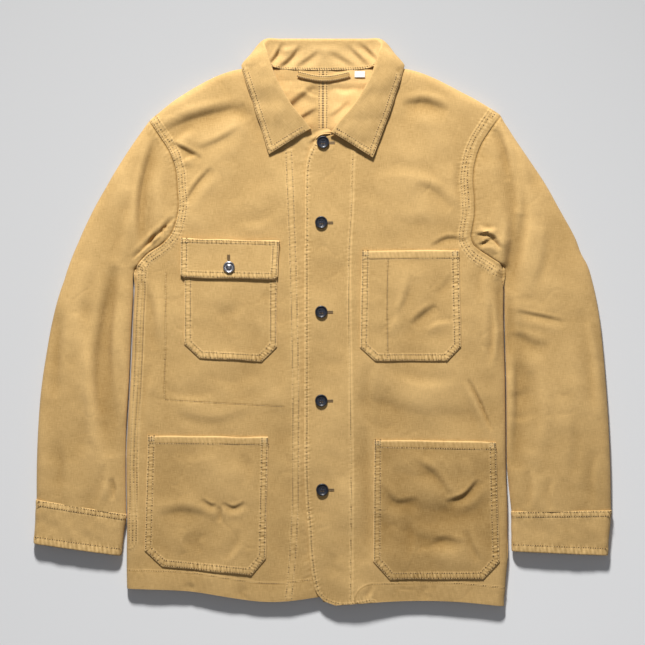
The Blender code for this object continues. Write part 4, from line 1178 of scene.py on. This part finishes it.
canvas_double = canvas_finish("canvas_double", (0.33, 0.192, 0.058), (0.785, 0.522, 0.218))
under_flap = body_height("right")
plan = patch_plan(FLAP_LEFT, FLAP_RIGHT, spacing=1.2)
x, y = plan[..., 0], plan[..., 1]
plan = plan + 0.5 * np.dstack([ripple(x, y, 45, 33), ripple(x, y, 45, 34)])
x, y = plan[..., 0], plan[..., 1]
flap_outline = np.array(FLAP_LEFT + FLAP_RIGHT[::-1], float)
flap_top = np.array([FLAP_RIGHT[0], FLAP_LEFT[0]], float)
flap_seams = [
    dict(line=flap_outline, band=(0, 9.8), rows=(2.0, 8.6), lift=0.4, rope=0.32, reach=0.5, size=5.0),
    dict(line=flap_top, band=(0, 6.5), rows=(2.0, 5.4), lift=0.4, rope=0.28, reach=1.0, size=5.5),
]


def flap_surface(x, y):
    """The flap's upper surface and its wear. The lower edge stands a little off the pocket."""
    height, wear_and_shading = sewn(x, y, flap_seams)
    free = ramp(-y, -100.0, -62.0)
    return under_flap(x, y) + FLAP_ABOVE + FLAP_THICK + height + 0.8 * free, wear_and_shading


height, wear_and_shading = flap_surface(x, y)
closed = np.concatenate([plan[:, 0], plan[-1, 1:-1], plan[::-1, -1], plan[0, ::-1]])[::2]
fall, painted_light_and_wear = edge_round(x, y, closed, 0.8)
wear_and_shading = wear_and_shading + painted_light_and_wear
top = np.dstack([plan, height + fall])
under = np.dstack([plan, under_flap(x, y) + FLAP_ABOVE + 0.8 * ramp(-y, -100.0, -62.0)])
flap = cloth("pocket_flap_cloth", top, under, plan, wear_and_shading, canvas_double)
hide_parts("pocket_flap")
rows = [on_surface(flap_surface, beside(s["line"], r), above=0.05) for s in flap_seams for r in s["rows"]]
stitches("flap_stitches", rows, gold_thread, seed=13)


# ---- The cuffs ---------------------------------------------------------------------------
# Bands of doubled canvas closed into a ring, sewn to the sleeve with two rows of stitches and
# topstitched along the lower edge.

DOUBLED = 2.4
CUFF_HEIGHT, CUFF_CROWN, CUFF_BEND = 13.5, 1.2, 8.0
# The ends of the seam with the sleeve, then of the lower edge: inner and outer.
CUFFS = {
    "cuff_left": [(274.5, -274), (418, -272.5), (275, -332), (412.5, -338)],
    "cuff_right": [(-286.5, -278), (-415.5, -257), (-294, -338.5), (-419, -321)],
}
CUFF_AROUND, CUFF_DOWN, CUFF_TURN = 168, 40, 13  # points round the ring, down it and at a side
CUFF_LENGTH = 62


def cuff_ring(count):
    """Points round a flattened ring: straight along the under side, half an ellipse round the
    outer edge, over the crowned top and half an ellipse round the inner edge."""
    low, high = DOUBLED / 2, CUFF_HEIGHT
    turns = np.linspace(-np.pi / 2, np.pi / 2, CUFF_TURN)
    inset, height = CUFF_BEND * (1 - np.cos(turns)), (low + high) / 2 + (high - low) / 2 * np.sin(turns)
    steps = np.linspace(0.0, 1.0, count // 2 - CUFF_TURN + 2)[1:-1]
    outer = np.column_stack([0 * inset, inset, height])
    top = np.column_stack([steps, CUFF_BEND * (1 - 2 * steps), high + CUFF_CROWN * np.sin(np.pi * steps)])
    inner = np.column_stack([1 + 0 * inset, -inset[::-1], height[::-1]])
    bottom = np.column_stack([steps[::-1], CUFF_BEND * (1 - 2 * steps[::-1]), low + 0 * steps])
    return np.concatenate([outer, top, inner, bottom])


cuff_rows = []
for name, corners in CUFFS.items():
    inner_top, outer_top, inner_end, outer_end = np.array(corners, float)
    ring = cuff_ring(CUFF_AROUND)
    edge = np.array([0.0, 0.008, 0.02])
    down = np.linspace(edge[-1], 1 - edge[-1], CUFF_DOWN - 5)[1:-1]
    down = np.concatenate([edge, down, 1 - edge[::-1]])
    while (len(down) - 1) % 4:
        down = np.sort(np.append(down, (down[6] + down[7]) / 2 + 0.0005 * len(down)))
    outer = outer_top + (outer_end - outer_top) * down[:, None]
    inner = inner_top + (inner_end - inner_top) * down[:, None]
    way = unit(inner - outer)
    flat = outer[:, None] + (inner - outer)[:, None] * ring[None, :, :1] + way[:, None] * ring[None, :, 1:2]
    middle = np.dstack([flat, np.tile(ring[:, 2], (len(down), 1))])
    x, y = middle[..., 0], middle[..., 1]
    flip = 1 if name == "cuff_right" else -1
    seam_line = np.array([outer_top, inner_top])[::flip]
    end_line = np.array([inner_end, outer_end])[::flip]
    # Both lines have the cuff on their left.
    if np.cross(seam_line[1] - seam_line[0], outer_end - outer_top) < 0:
        seam_line, end_line = seam_line[::-1], end_line[::-1]
    seams = [
        dict(line=seam_line, band=(0, 9.5), rows=(1.8, 8.0), lift=0.4, rope=0.34, reach=2.0, size=5.6),
        dict(line=end_line, band=(0, 10.5), rows=(10.0,), lift=0.25, rope=0.30, reach=3.0, size=6.0),
    ]
    height, wear_and_shading = sewn(x, y, seams)
    upper = ramp(middle[..., 2], 4.0, 9.0)
    soft = 0.5 * ripple(x, y, 38.0, 21) + 0.25 * ripple(x, y, 16.0, 22)
    normals = grid_normals(middle, wrap=True)
    if (normals * (middle - middle.mean(axis=1, keepdims=True))).sum() < 0:
        normals = -normals
    middle = middle + normals * ((height + soft) * upper)[..., None]
    edge = np.exp(-((np.minimum(down, 1 - down) * CUFF_LENGTH / 0.7) ** 1.5))[:, None]
    half = (DOUBLED / 2) * (1 - 0.45 * edge)[..., None]
    top, under = middle + normals * half, middle - normals * half
    uv = np.dstack(np.meshgrid(np.arange(len(ring)) * 1.9, down * CUFF_LENGTH))
    cuff = cloth(f"{name}_cloth", top, under, uv, wear_and_shading * upper, canvas_double, step=4, wrap=True)
    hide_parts(name)
    columns = np.arange(CUFF_TURN, len(ring) // 2 + 4)
    for seam in seams:
        for row in seam["rows"]:
            line = beside(seam["line"], row)
            line = line[:1] + (line[1:] - line[:1]) * np.linspace(0.01, 0.99, 60)[:, None]
            cuff_rows.append(np.column_stack([line, near_grid(line, top, columns)]))
stitches("cuff_stitches", cuff_rows, gold_thread, seed=14)


# ---- The collar --------------------------------------------------------------------------
# A one-piece collar of doubled canvas, sewn into the neck and turned over: its stand leans back
# inside, and its fall lies on the shoulders with two rows of stitches round the leaf.

# A row for each section of half the collar, from its front end to the centre back. It is
# joined at the seam, turned over at the roll, bulges towards the belly and ends at the edge.
COLLAR_SECTIONS = [
    (-17, 277, 15.6, -18, 281, 18.6, -48, 263, 19.6, -78, 244, 14.9),
    (-28, 281, 15.6, -31, 298, 22.0, -58, 280, 21.8, -83, 261, 15.0),
    (-46, 291, 15.6, -45, 315, 24.2, -70, 299, 23.4, -89, 281, 15.1),
    (-62, 309, 15.6, -58, 336, 25.6, -82, 322, 24.0, -97, 305, 15.2),
    (-74, 334, 15.6, -69, 357, 26.0, -92, 347, 24.0, -106, 333, 15.3),
    (-79, 353, 15.6, -76, 376, 24.6, -100, 370, 23.0, -113.5, 356, 15.0),
    (-80, 366, 13.8, -81, 393, 21.0, -104, 389, 18.6, -118, 372.5, 11.6),
    (-76, 372, 10.0, -85, 404, 16.0, -104, 396, 3.5, -114.5, 373.5, 1.3),
    (-70, 371, 6.0, -80, 410, 12.0, -99, 413, 0.3, -104, 361, 1.22),
    (-55, 368.6, 4.4, -60, 410, 10.0, -70, 419, 0.2, -72, 355, 1.22),
    (-28, 367.6, 4.3, -30, 410, 9.2, -34, 420, 0.2, -36, 354, 1.22),
    (0, 367.2, 4.3, 0, 410, 9.2, 0, 420, 0.2, 0, 354, 1.22),
]
LEFT_END_SHIFT = np.array([-6.0, -5.0])
LEFT_END_WEIGHTS = (1.0, 0.6, 0.3)
LAP_SECTIONS = 5.0
COLLAR_LONG = 257
STAND_POINTS, ROLL_POINTS, FALL_POINTS = 14, 9, 34
FALL_START = 0.08
EAR_Y, LEAF_Y = 368.0, 372.0  # behind the neck from here on, the rows and the leaf don't show

half = np.array(COLLAR_SECTIONS, float).reshape(-1, 4, 3)
other = half[:-1].copy()
other[..., 0] *= -1
for index, weight in enumerate(LEFT_END_WEIGHTS):
    other[index, :, :2] += LEFT_END_SHIFT * weight
other[..., 2] += LAP * np.clip(1 - np.arange(len(other)) / LAP_SECTIONS, 0, 1)[:, None]
sections = np.concatenate([half, other[::-1]]).transpose(1, 0, 2)
knots = section_knots(sections[1:])
at = np.linspace(0, knots[-1], COLLAR_LONG)
seam, roll, belly, edge = sections_at(sections, knots, at).transpose(1, 0, 2)


def bend(t, start, middle, end):
    """A bent line: a quadratic curve from start to end that leans to the middle point."""
    t = np.asarray(t)[None, :, None]
    return (1 - t) ** 2 * start[:, None] + 2 * t * (1 - t) * middle[:, None] + t**2 * end[:, None]


reach = np.minimum(3.0, 0.35 * np.linalg.norm(roll - seam, axis=1))[:, None]
before = roll - unit(roll - seam) * reach
turn_end = bend([FALL_START], roll, belly, edge)[:, 0]
stand = seam[:, None] + (before - seam)[:, None] * np.linspace(0, 1, STAND_POINTS)[None, :, None]
over = bend(np.linspace(0, 1, ROLL_POINTS)[1:], before, roll, turn_end)
fall = bend(np.linspace(FALL_START, 1, FALL_POINTS)[1:], roll, belly, edge)
middle = np.concatenate([stand, over, fall], axis=1)
while (middle.shape[1] - 1) % 4:
    middle = np.concatenate([middle[:, :1], (middle[:, :1] + middle[:, 1:2]) / 2, middle[:, 1:]], axis=1)
columns = middle.shape[1]
on_fall = ramp(np.arange(columns), columns - FALL_POINTS, columns - FALL_POINTS + 4)[None]
on_stand = 1 - ramp(np.arange(columns), 11, STAND_POINTS + 2)[None]
x, y, z = middle[..., 0], middle[..., 1], middle[..., 2]
normals = grid_normals(middle)
if (normals[..., 2] * on_fall).sum() < 0:
    normals = -normals
leaf_rows = int(np.argmin(edge[: COLLAR_LONG // 2, 0]))  # the leaf passes behind the neck from here
right_leaf, right_end = middle[leaf_rows - 1 :: -1, -1, :2], middle[0, :-FALL_POINTS - 1 : -1, :2]
left_leaf, left_end = middle[: -leaf_rows - 1 : -1, -1, :2], middle[-1, -FALL_POINTS:, :2]
right_outline = np.concatenate([right_leaf[::3], right_end[4::4]])
left_outline = np.concatenate([left_end[::4], left_leaf[3::3]])
collar_seams = [
    dict(line=right_outline, band=(0, 8.2), rows=(1.8, 7.6), lift=0.35, rope=0.26, reach=0.8, size=5.6),
    dict(line=left_outline, band=(0, 8.2), rows=(1.8, 7.6), lift=0.35, rope=0.26, reach=0.8, size=5.6),
]
height, wear_and_shading = sewn(x, y, collar_seams)
shown_leaf = (y < LEAF_Y) | (np.arange(columns)[None] < columns - FALL_POINTS)
height, wear_and_shading = height * on_fall * shown_leaf, wear_and_shading * on_fall * shown_leaf
STAND_CREASES = [
    (-78, 374, -66, 388, -58, 408, 4.5, 1.6),
    (-64, 369, -44, 384, -32, 402, 5.0, 1.4),
    (-40, 370, -22, 380, -4, 394, 5.0, 0.9),
    (-70, 400, -50, 396, -36, 404, 4.0, -0.6),
    (50, 408, 64, 394, 78, 380, 4.5, 1.5),
    (32, 404, 48, 388, 66, 372, 5.0, 1.1),
    (8, 392, 26, 382, 46, 371, 5.0, 0.8),
    (-20, 400, 4, 396, 30, 400, 8, -0.5),
]
height = height + creased(x, y, STAND_CREASES) * on_stand
# The stand is painted paler, as light, where it leans away from the lamp.
wear_and_shading = wear_and_shading + 0.45 * on_stand
neck_band = on_stand * ramp(-np.arange(columns), -3.0, -1.5)[None]
height = height + neck_band * (0.3 + 0.12 * rope(at[:, None] + 0 * x, 0 * x, 5.5, 53))
wear_and_shading = wear_and_shading + 0.3 * neck_band
soft = 0.55 * ripple(x, y, 44.0, 51) + 0.2 * ripple(x, y, 18.0, 52)
height = height + soft * np.minimum(on_fall, shown_leaf)
middle = middle + normals * height[..., None]
from_edge = 2.4 * np.minimum(np.arange(COLLAR_LONG), np.arange(COLLAR_LONG)[::-1])[:, None]
to_leaf = 1.0 * np.arange(columns)[::-1][None]
thin = 0.45 * np.maximum(np.exp(-from_edge / 1.5), np.exp(-to_leaf / 1.5)) * on_fall
thick = (DOUBLED / 2) * (1 - thin)[..., None]
top, under = middle + normals * thick, middle - normals * thick
far = lengths(middle[40])
uv = np.dstack(np.meshgrid(at, far, indexing="ij"))
collar = cloth("collar_cloth", top, under, uv, wear_and_shading, canvas_double, step=4)
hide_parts("collar")
collar_rows = []
fall_columns = np.arange(columns - FALL_POINTS + 3, columns)
for leaf in collar_seams:
    for row in leaf["rows"]:
        line = beside(leaf["line"], row)
        far = lengths(line)
        line = placed(np.linspace(0, far[-1], int(far[-1] / 2.5)), far, line)
        line = line[line[:, 1] < EAR_Y]
        collar_rows.append(np.column_stack([line, near_grid(line, top, fall_columns)]))
seam_rows = (np.abs(top[:, 1, 0]) < 76) & (top[:, 1, 1] > 360)
collar_rows += [(top[:, k] * 0.5 + top[:, k + 1] * 0.5)[seam_rows] for k in (0, 2)]
stitches("collar_stitches", collar_rows, gold_thread, seed=15)


# ---- The hanging loop and the label ------------------------------------------------------
# A folded strip of canvas, slack between two tacked ends, and a small blank tab of white tape,
# both caught in the neck seam.

LOOP_ENDS = np.array([(-36, 361), (39, 360.5)], float)
LOOP_LENGTH, LOOP_SAG, LOOP_WIDTH, LOOP_THICK, LOOP_LIFT = 76, 6.5, 9.0, 1.6, 1.0
along = np.linspace(0, 1, 61)[:, None]
centre = LOOP_ENDS[0] + (LOOP_ENDS[1] - LOOP_ENDS[0]) * along
centre[:, 1] -= LOOP_SAG * np.sin(np.pi * along[:, 0])
way = unit(np.gradient(centre, axis=0))
out = np.column_stack([-way[:, 1], way[:, 0]])
across = np.linspace(-0.5, 0.5, 13)
plan = centre[:, None] + out[:, None] * (across * LOOP_WIDTH)[None, :, None]
x, y = plan[..., 0], plan[..., 1]
fat = 1 - 0.45 * np.abs(2 * across) ** 6
rise = 0.9 * np.sin(np.pi * along) ** 0.6
base = back_height(x, y) + FLOOR_LAYER + 0.3 + LOOP_LIFT + rise + 0.15 * ripple(x, y, 14, 61)
top = np.dstack([plan, base + LOOP_THICK * fat])
under = np.dstack([plan, base + LOOP_THICK * (1 - fat)])
uv = np.dstack(np.meshgrid(along[:, 0] * LOOP_LENGTH, across * LOOP_WIDTH, indexing="ij"))
wear_and_shading = 0.6 * np.abs(2 * across) ** 3 - 0.7 * np.exp(-((across * 7) ** 2)) + 0 * x
loop = cloth("hanger_loop_cloth", top, under, uv, wear_and_shading, canvas_double, step=4)
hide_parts("hanger_loop")
rows = [np.column_stack([plan[:, k], top[:, k, 2] + 0.05]) for k in (2, 10)]
stitches("loop_stitches", rows, gold_thread, pitch=2.6, length=1.8, thick=0.5, seed=16)

LABEL_BOX = (46, 61, 356.5, 365.5)
label_white = thread_finish("label_cloth", (0.62, 0.62, 0.58), (0.84, 0.84, 0.80))
xs, ys = np.linspace(LABEL_BOX[0], LABEL_BOX[1], 25), np.linspace(LABEL_BOX[3], LABEL_BOX[2], 17)
plan = np.stack(np.meshgrid(xs, ys), axis=-1)
x, y = plan[..., 0], plan[..., 1]
base = back_height(x, y) + FLOOR_LAYER + 0.3 + 0.8 + 0.25 * np.sin((x - 46) / 15 * np.pi)
top, under = np.dstack([plan, base + 0.9]), np.dstack([plan, base])
label = cloth("neck_label_tape", top, under, plan, 0 * x, label_white, step=4)
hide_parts("neck_label")


# ---- The front buttons -------------------------------------------------------------------
# Five turned four-hole buttons of dark glossy resin, sewn on through worked buttonholes that
# run across the front edge.

FRONT_BUTTONS = [(0, 261), (-2.5, 145), (-2.5, 15.5), (-2.5, -113), (-1, -242)]
BUTTON_RADIUS = 9.0
HOLE_CENTRE, HOLE_RADIUS = 1.75, 0.8
# Radius and height, from the middle of the under side round to the middle of the dished top.
RESIN_PROFILE = [(0, 0), (6.8, 0), (8.4, 0.5), (9.0, 1.6), (8.8, 2.7), (8.1, 3.35)]
RESIN_PROFILE += [(7.3, 3.2), (6.5, 2.4), (5.2, 2.0), (3.0, 1.85), (0, 1.8)]


def lathe(name, profile, centre, base, finish, around=64, shape=None):
    """A turned solid: the profile carried round, closed at its two poles."""
    turns = np.linspace(0, 2 * np.pi, around, endpoint=False)
    radius, height = profile[:, :1], profile[:, 1:] + 0 * turns[None]
    x, y = radius * np.cos(turns), radius * np.sin(turns)
    if shape is not None:
        height = height + shape(x, y, radius, turns, np.arange(len(profile))[:, None] / len(profile))
    points = np.stack([x + centre[0], y + centre[1], height + base], axis=-1)
    index = np.arange(len(profile) * around).reshape(len(profile), around)
    index = np.hstack([index, index[:, :1]])
    quads = np.stack([index[:-1, :-1], index[:-1, 1:], index[1:, 1:], index[1:, :-1]], axis=-1)
    return shown(name, closed_mesh(name, points, quads.reshape(-1, 4).tolist(), weld=True), finish)


def hole_shape(x, y, radius, turns, along):
    """Four holes sunk in the dished middle."""
    away = np.hypot(np.abs(x) - HOLE_CENTRE, np.abs(y) - HOLE_CENTRE)
    return -1.3 * np.exp(-((away / HOLE_RADIUS) ** 4)) * (along > 0.5)


def gloss_finish(name, dark, light, roughness, metallic=0.0, coat=0.0):
    """Polished resin or metal with faint clouds in its colour and fine marks in its gloss."""
    made, tree, shader = new_finish(name, Metallic=metallic, Coat_Weight=coat, Coat_Roughness=0.12)
    place = node(tree, "ShaderNodeTexCoord").outputs["Object"]
    clouds = node(tree, "ShaderNodeTexNoise", Vector=place, Scale=240.0, Detail=4.0).outputs["Fac"]
    marks = node(tree, "ShaderNodeTexNoise", Vector=place, Scale=1800.0, Detail=3.0).outputs["Fac"]
    blend(tree, clouds, shader, (dark, light), (0.35, 0.7))
    tree.links.new(maths(tree, "MULTIPLY_ADD", marks, 0.25, roughness - 0.12), shader.inputs["Roughness"])
    return made


resin = gloss_finish("button_resin", (0.008, 0.009, 0.014), (0.022, 0.025, 0.036), 0.38, coat=0.15)
navy_thread = thread_finish("thread_navy", (0.015, 0.018, 0.03), (0.05, 0.06, 0.09))
hole_thread = thread_finish("thread_buttonhole", (0.16, 0.11, 0.055), (0.34, 0.24, 0.12))
profile = curve(RESIN_PROFILE, 0.42)
profile[0, 0] = profile[-1, 0] = 0.0
sewing, worked = [], []
SEWN_AT = 1.75  # the thread lies in the dish, this far above the button's under side
SLIT_SIDE, SLIT_STITCHES = 1.1, 16
for number, centre in enumerate(FRONT_BUTTONS, start=1):
    rim = centre + BUTTON_RADIUS * np.array([(0, 0), (1, 0), (0, 1), (-1, 0), (0, -1)])
    base_z = left_surface(rim[:, 0], rim[:, 1])[0].max() + CANVAS / 2 + 0.2
    button = lathe(f"button_{number}_resin", profile, centre, base_z, resin, shape=hole_shape)
    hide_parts(f"button_{number}")
    for over in (-HOLE_CENTRE, HOLE_CENTRE):
        sewing.append([(centre[0] + over, centre[1] + up, base_z + SEWN_AT) for up in (-2.2, 2.2)])
    for shift in (-SLIT_SIDE, SLIT_SIDE):
        for along in np.linspace(centre[0] + 3.0, centre[0] + 16.5, SLIT_STITCHES):
            pair = np.array([[along, centre[1] + shift - 0.8], [along, centre[1] + shift + 0.8]])
            worked.append(on_surface(left_surface, pair, above=CANVAS / 2 + 0.15))
stitches("button_sewing", sewing, navy_thread, pitch=4.4, length=4.6, thick=0.9, seed=17)
stitches("buttonholes", worked, hole_thread, pitch=1.6, length=1.9, thick=0.75, seed=18)


# ---- The flap's button -------------------------------------------------------------------
# A cast metal button with a rounded rim, a knurled ring and a raised centre, aged to grey.

FLAP_BUTTON = (-136, 80)
STEEL_PROFILE = [(0, 0), (6.2, 0), (7.8, 0.6), (8.5, 1.7), (8.2, 2.7), (7.4, 3.2), (6.5, 3.0)]
STEEL_PROFILE += [(5.9, 2.3), (4.9, 2.2), (4.0, 2.3), (3.2, 3.0), (1.8, 3.5), (0, 3.6)]
RING_RADIUS, RIBS = 5.2, 26


def knurl_shape(x, y, radius, turns, along):
    """Fine ribs round the ring between the rim and the centre."""
    ring = np.exp(-(((radius - RING_RADIUS) / 0.9) ** 2)) * (along > 0.5)
    return 0.16 * np.cos(RIBS * turns)[None] * ring


steel = gloss_finish("button_metal", (0.22, 0.22, 0.24), (0.60, 0.60, 0.63), 0.34, metallic=1.0)
profile = curve(STEEL_PROFILE, 0.4)
profile[0, 0] = profile[-1, 0] = 0.0
ground = flap_surface(np.array([FLAP_BUTTON[0]]), np.array([FLAP_BUTTON[1]]))[0][0]
name = "flap_button_metal"
button = lathe(name, profile, FLAP_BUTTON, ground + 0.1, steel, around=104, shape=knurl_shape)
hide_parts("flap_button")
worked = []
for shift in (-1.0, 1.0):
    for y_ in np.linspace(90, 97.5, 9):
        pair = np.array([[FLAP_BUTTON[0] + shift - 0.8, y_], [FLAP_BUTTON[0] + shift + 0.8, y_]])
        worked.append(on_surface(flap_surface, pair, above=0.1))
stitches("flap_buttonhole", worked, hole_thread, pitch=1.6, length=1.9, thick=0.75, seed=19)


# ---- The surface, the light and the camera ----------------------------------------------
# A pale surface, painted darker beyond the collar and lighter at the wearer's left against the lamp's
# fall-off, under one large soft lamp beyond the collar, with a weak even fill.


def plane(name, size, z):
    """A level square."""
    mesh = bpy.data.meshes.new(name)
    s = size / 2
    mesh.from_pydata([(-s, -s, z), (s, -s, z), (s, s, z), (-s, s, z)], [], [(0, 1, 2, 3)])
    obj = bpy.data.objects.new(name, mesh)
    bpy.context.scene.collection.objects.link(obj)
    return obj


def pale_counter_shaded_surface():
    """A matt grey painted a little darker beyond the collar and lighter at the wearer's left, against the
    key lamp's fall-off, so that the lit surface looks even.
    """
    made, tree, shader = new_finish("pale_counter_shaded_surface", Roughness=0.9, Specular_IOR_Level=0.0)
    place = node(tree, "ShaderNodeTexCoord").outputs["Object"]
    where = node(tree, "ShaderNodeSeparateXYZ", Vector=place)
    tones = []
    # Painted gradient against the lamp's fall-off: darker towards the lamp, lighter away from it.
    for axis, low, high in (("Y", 0.82, 0.385), ("X", 1.0, 1.10)):
        ends = dict(From_Min=-0.5, From_Max=0.5, To_Min=low, To_Max=high)
        span = node(tree, "ShaderNodeMapRange", Value=where.outputs[axis], **ends)
        tones.append(span.outputs[0])
    tree.links.new(maths(tree, "MULTIPLY", *tones), shader.inputs["Base Color"])
    return made


floor = plane("floor", 8.0, 0.0)
floor.data.materials.append(pale_counter_shaded_surface())


def lamp(name, place, target, size, power):
    """A round soft lamp that faces its target."""
    data = bpy.data.lights.new(name, "AREA")
    data.shape = "DISK"
    data.size = size
    data.energy = power
    obj = bpy.data.objects.new(name, data)
    obj.location = place
    way = Vector(target) - Vector(place)
    obj.rotation_euler = way.to_track_quat("-Z", "Y").to_euler()
    bpy.context.scene.collection.objects.link(obj)
    return obj


lamp("key", (-0.30, 2.38, 1.48), (0, 0, 0), 0.40, 140.0)
lamp("fill", (0, -0.4, 3.4), (0, 0, 0), 3.0, 10.0)
world = bpy.data.worlds.new("soft_room")
bpy.context.scene.world = world
world.use_nodes = True
world.node_tree.nodes["Background"].inputs["Color"].default_value = (0.9, 0.92, 1.0, 1)
world.node_tree.nodes["Background"].inputs["Strength"].default_value = 0.115

CAMERA_HEIGHT = 2.6
FRONTS_UP = 0.013  # metres, the height of the fronts
VIEW_WIDTH = 0.93525  # metres across the view at that height
camera_data = bpy.data.cameras.new("camera")
camera_data.sensor_width = 36.0
camera_data.lens = camera_data.sensor_width * (CAMERA_HEIGHT - FRONTS_UP) / VIEW_WIDTH
camera = bpy.data.objects.new("camera", camera_data)
camera.location = (-0.0007, 0.0, CAMERA_HEIGHT)
bpy.context.scene.collection.objects.link(camera)
bpy.context.scene.camera = camera
bpy.context.scene.view_settings.view_transform = "Standard"
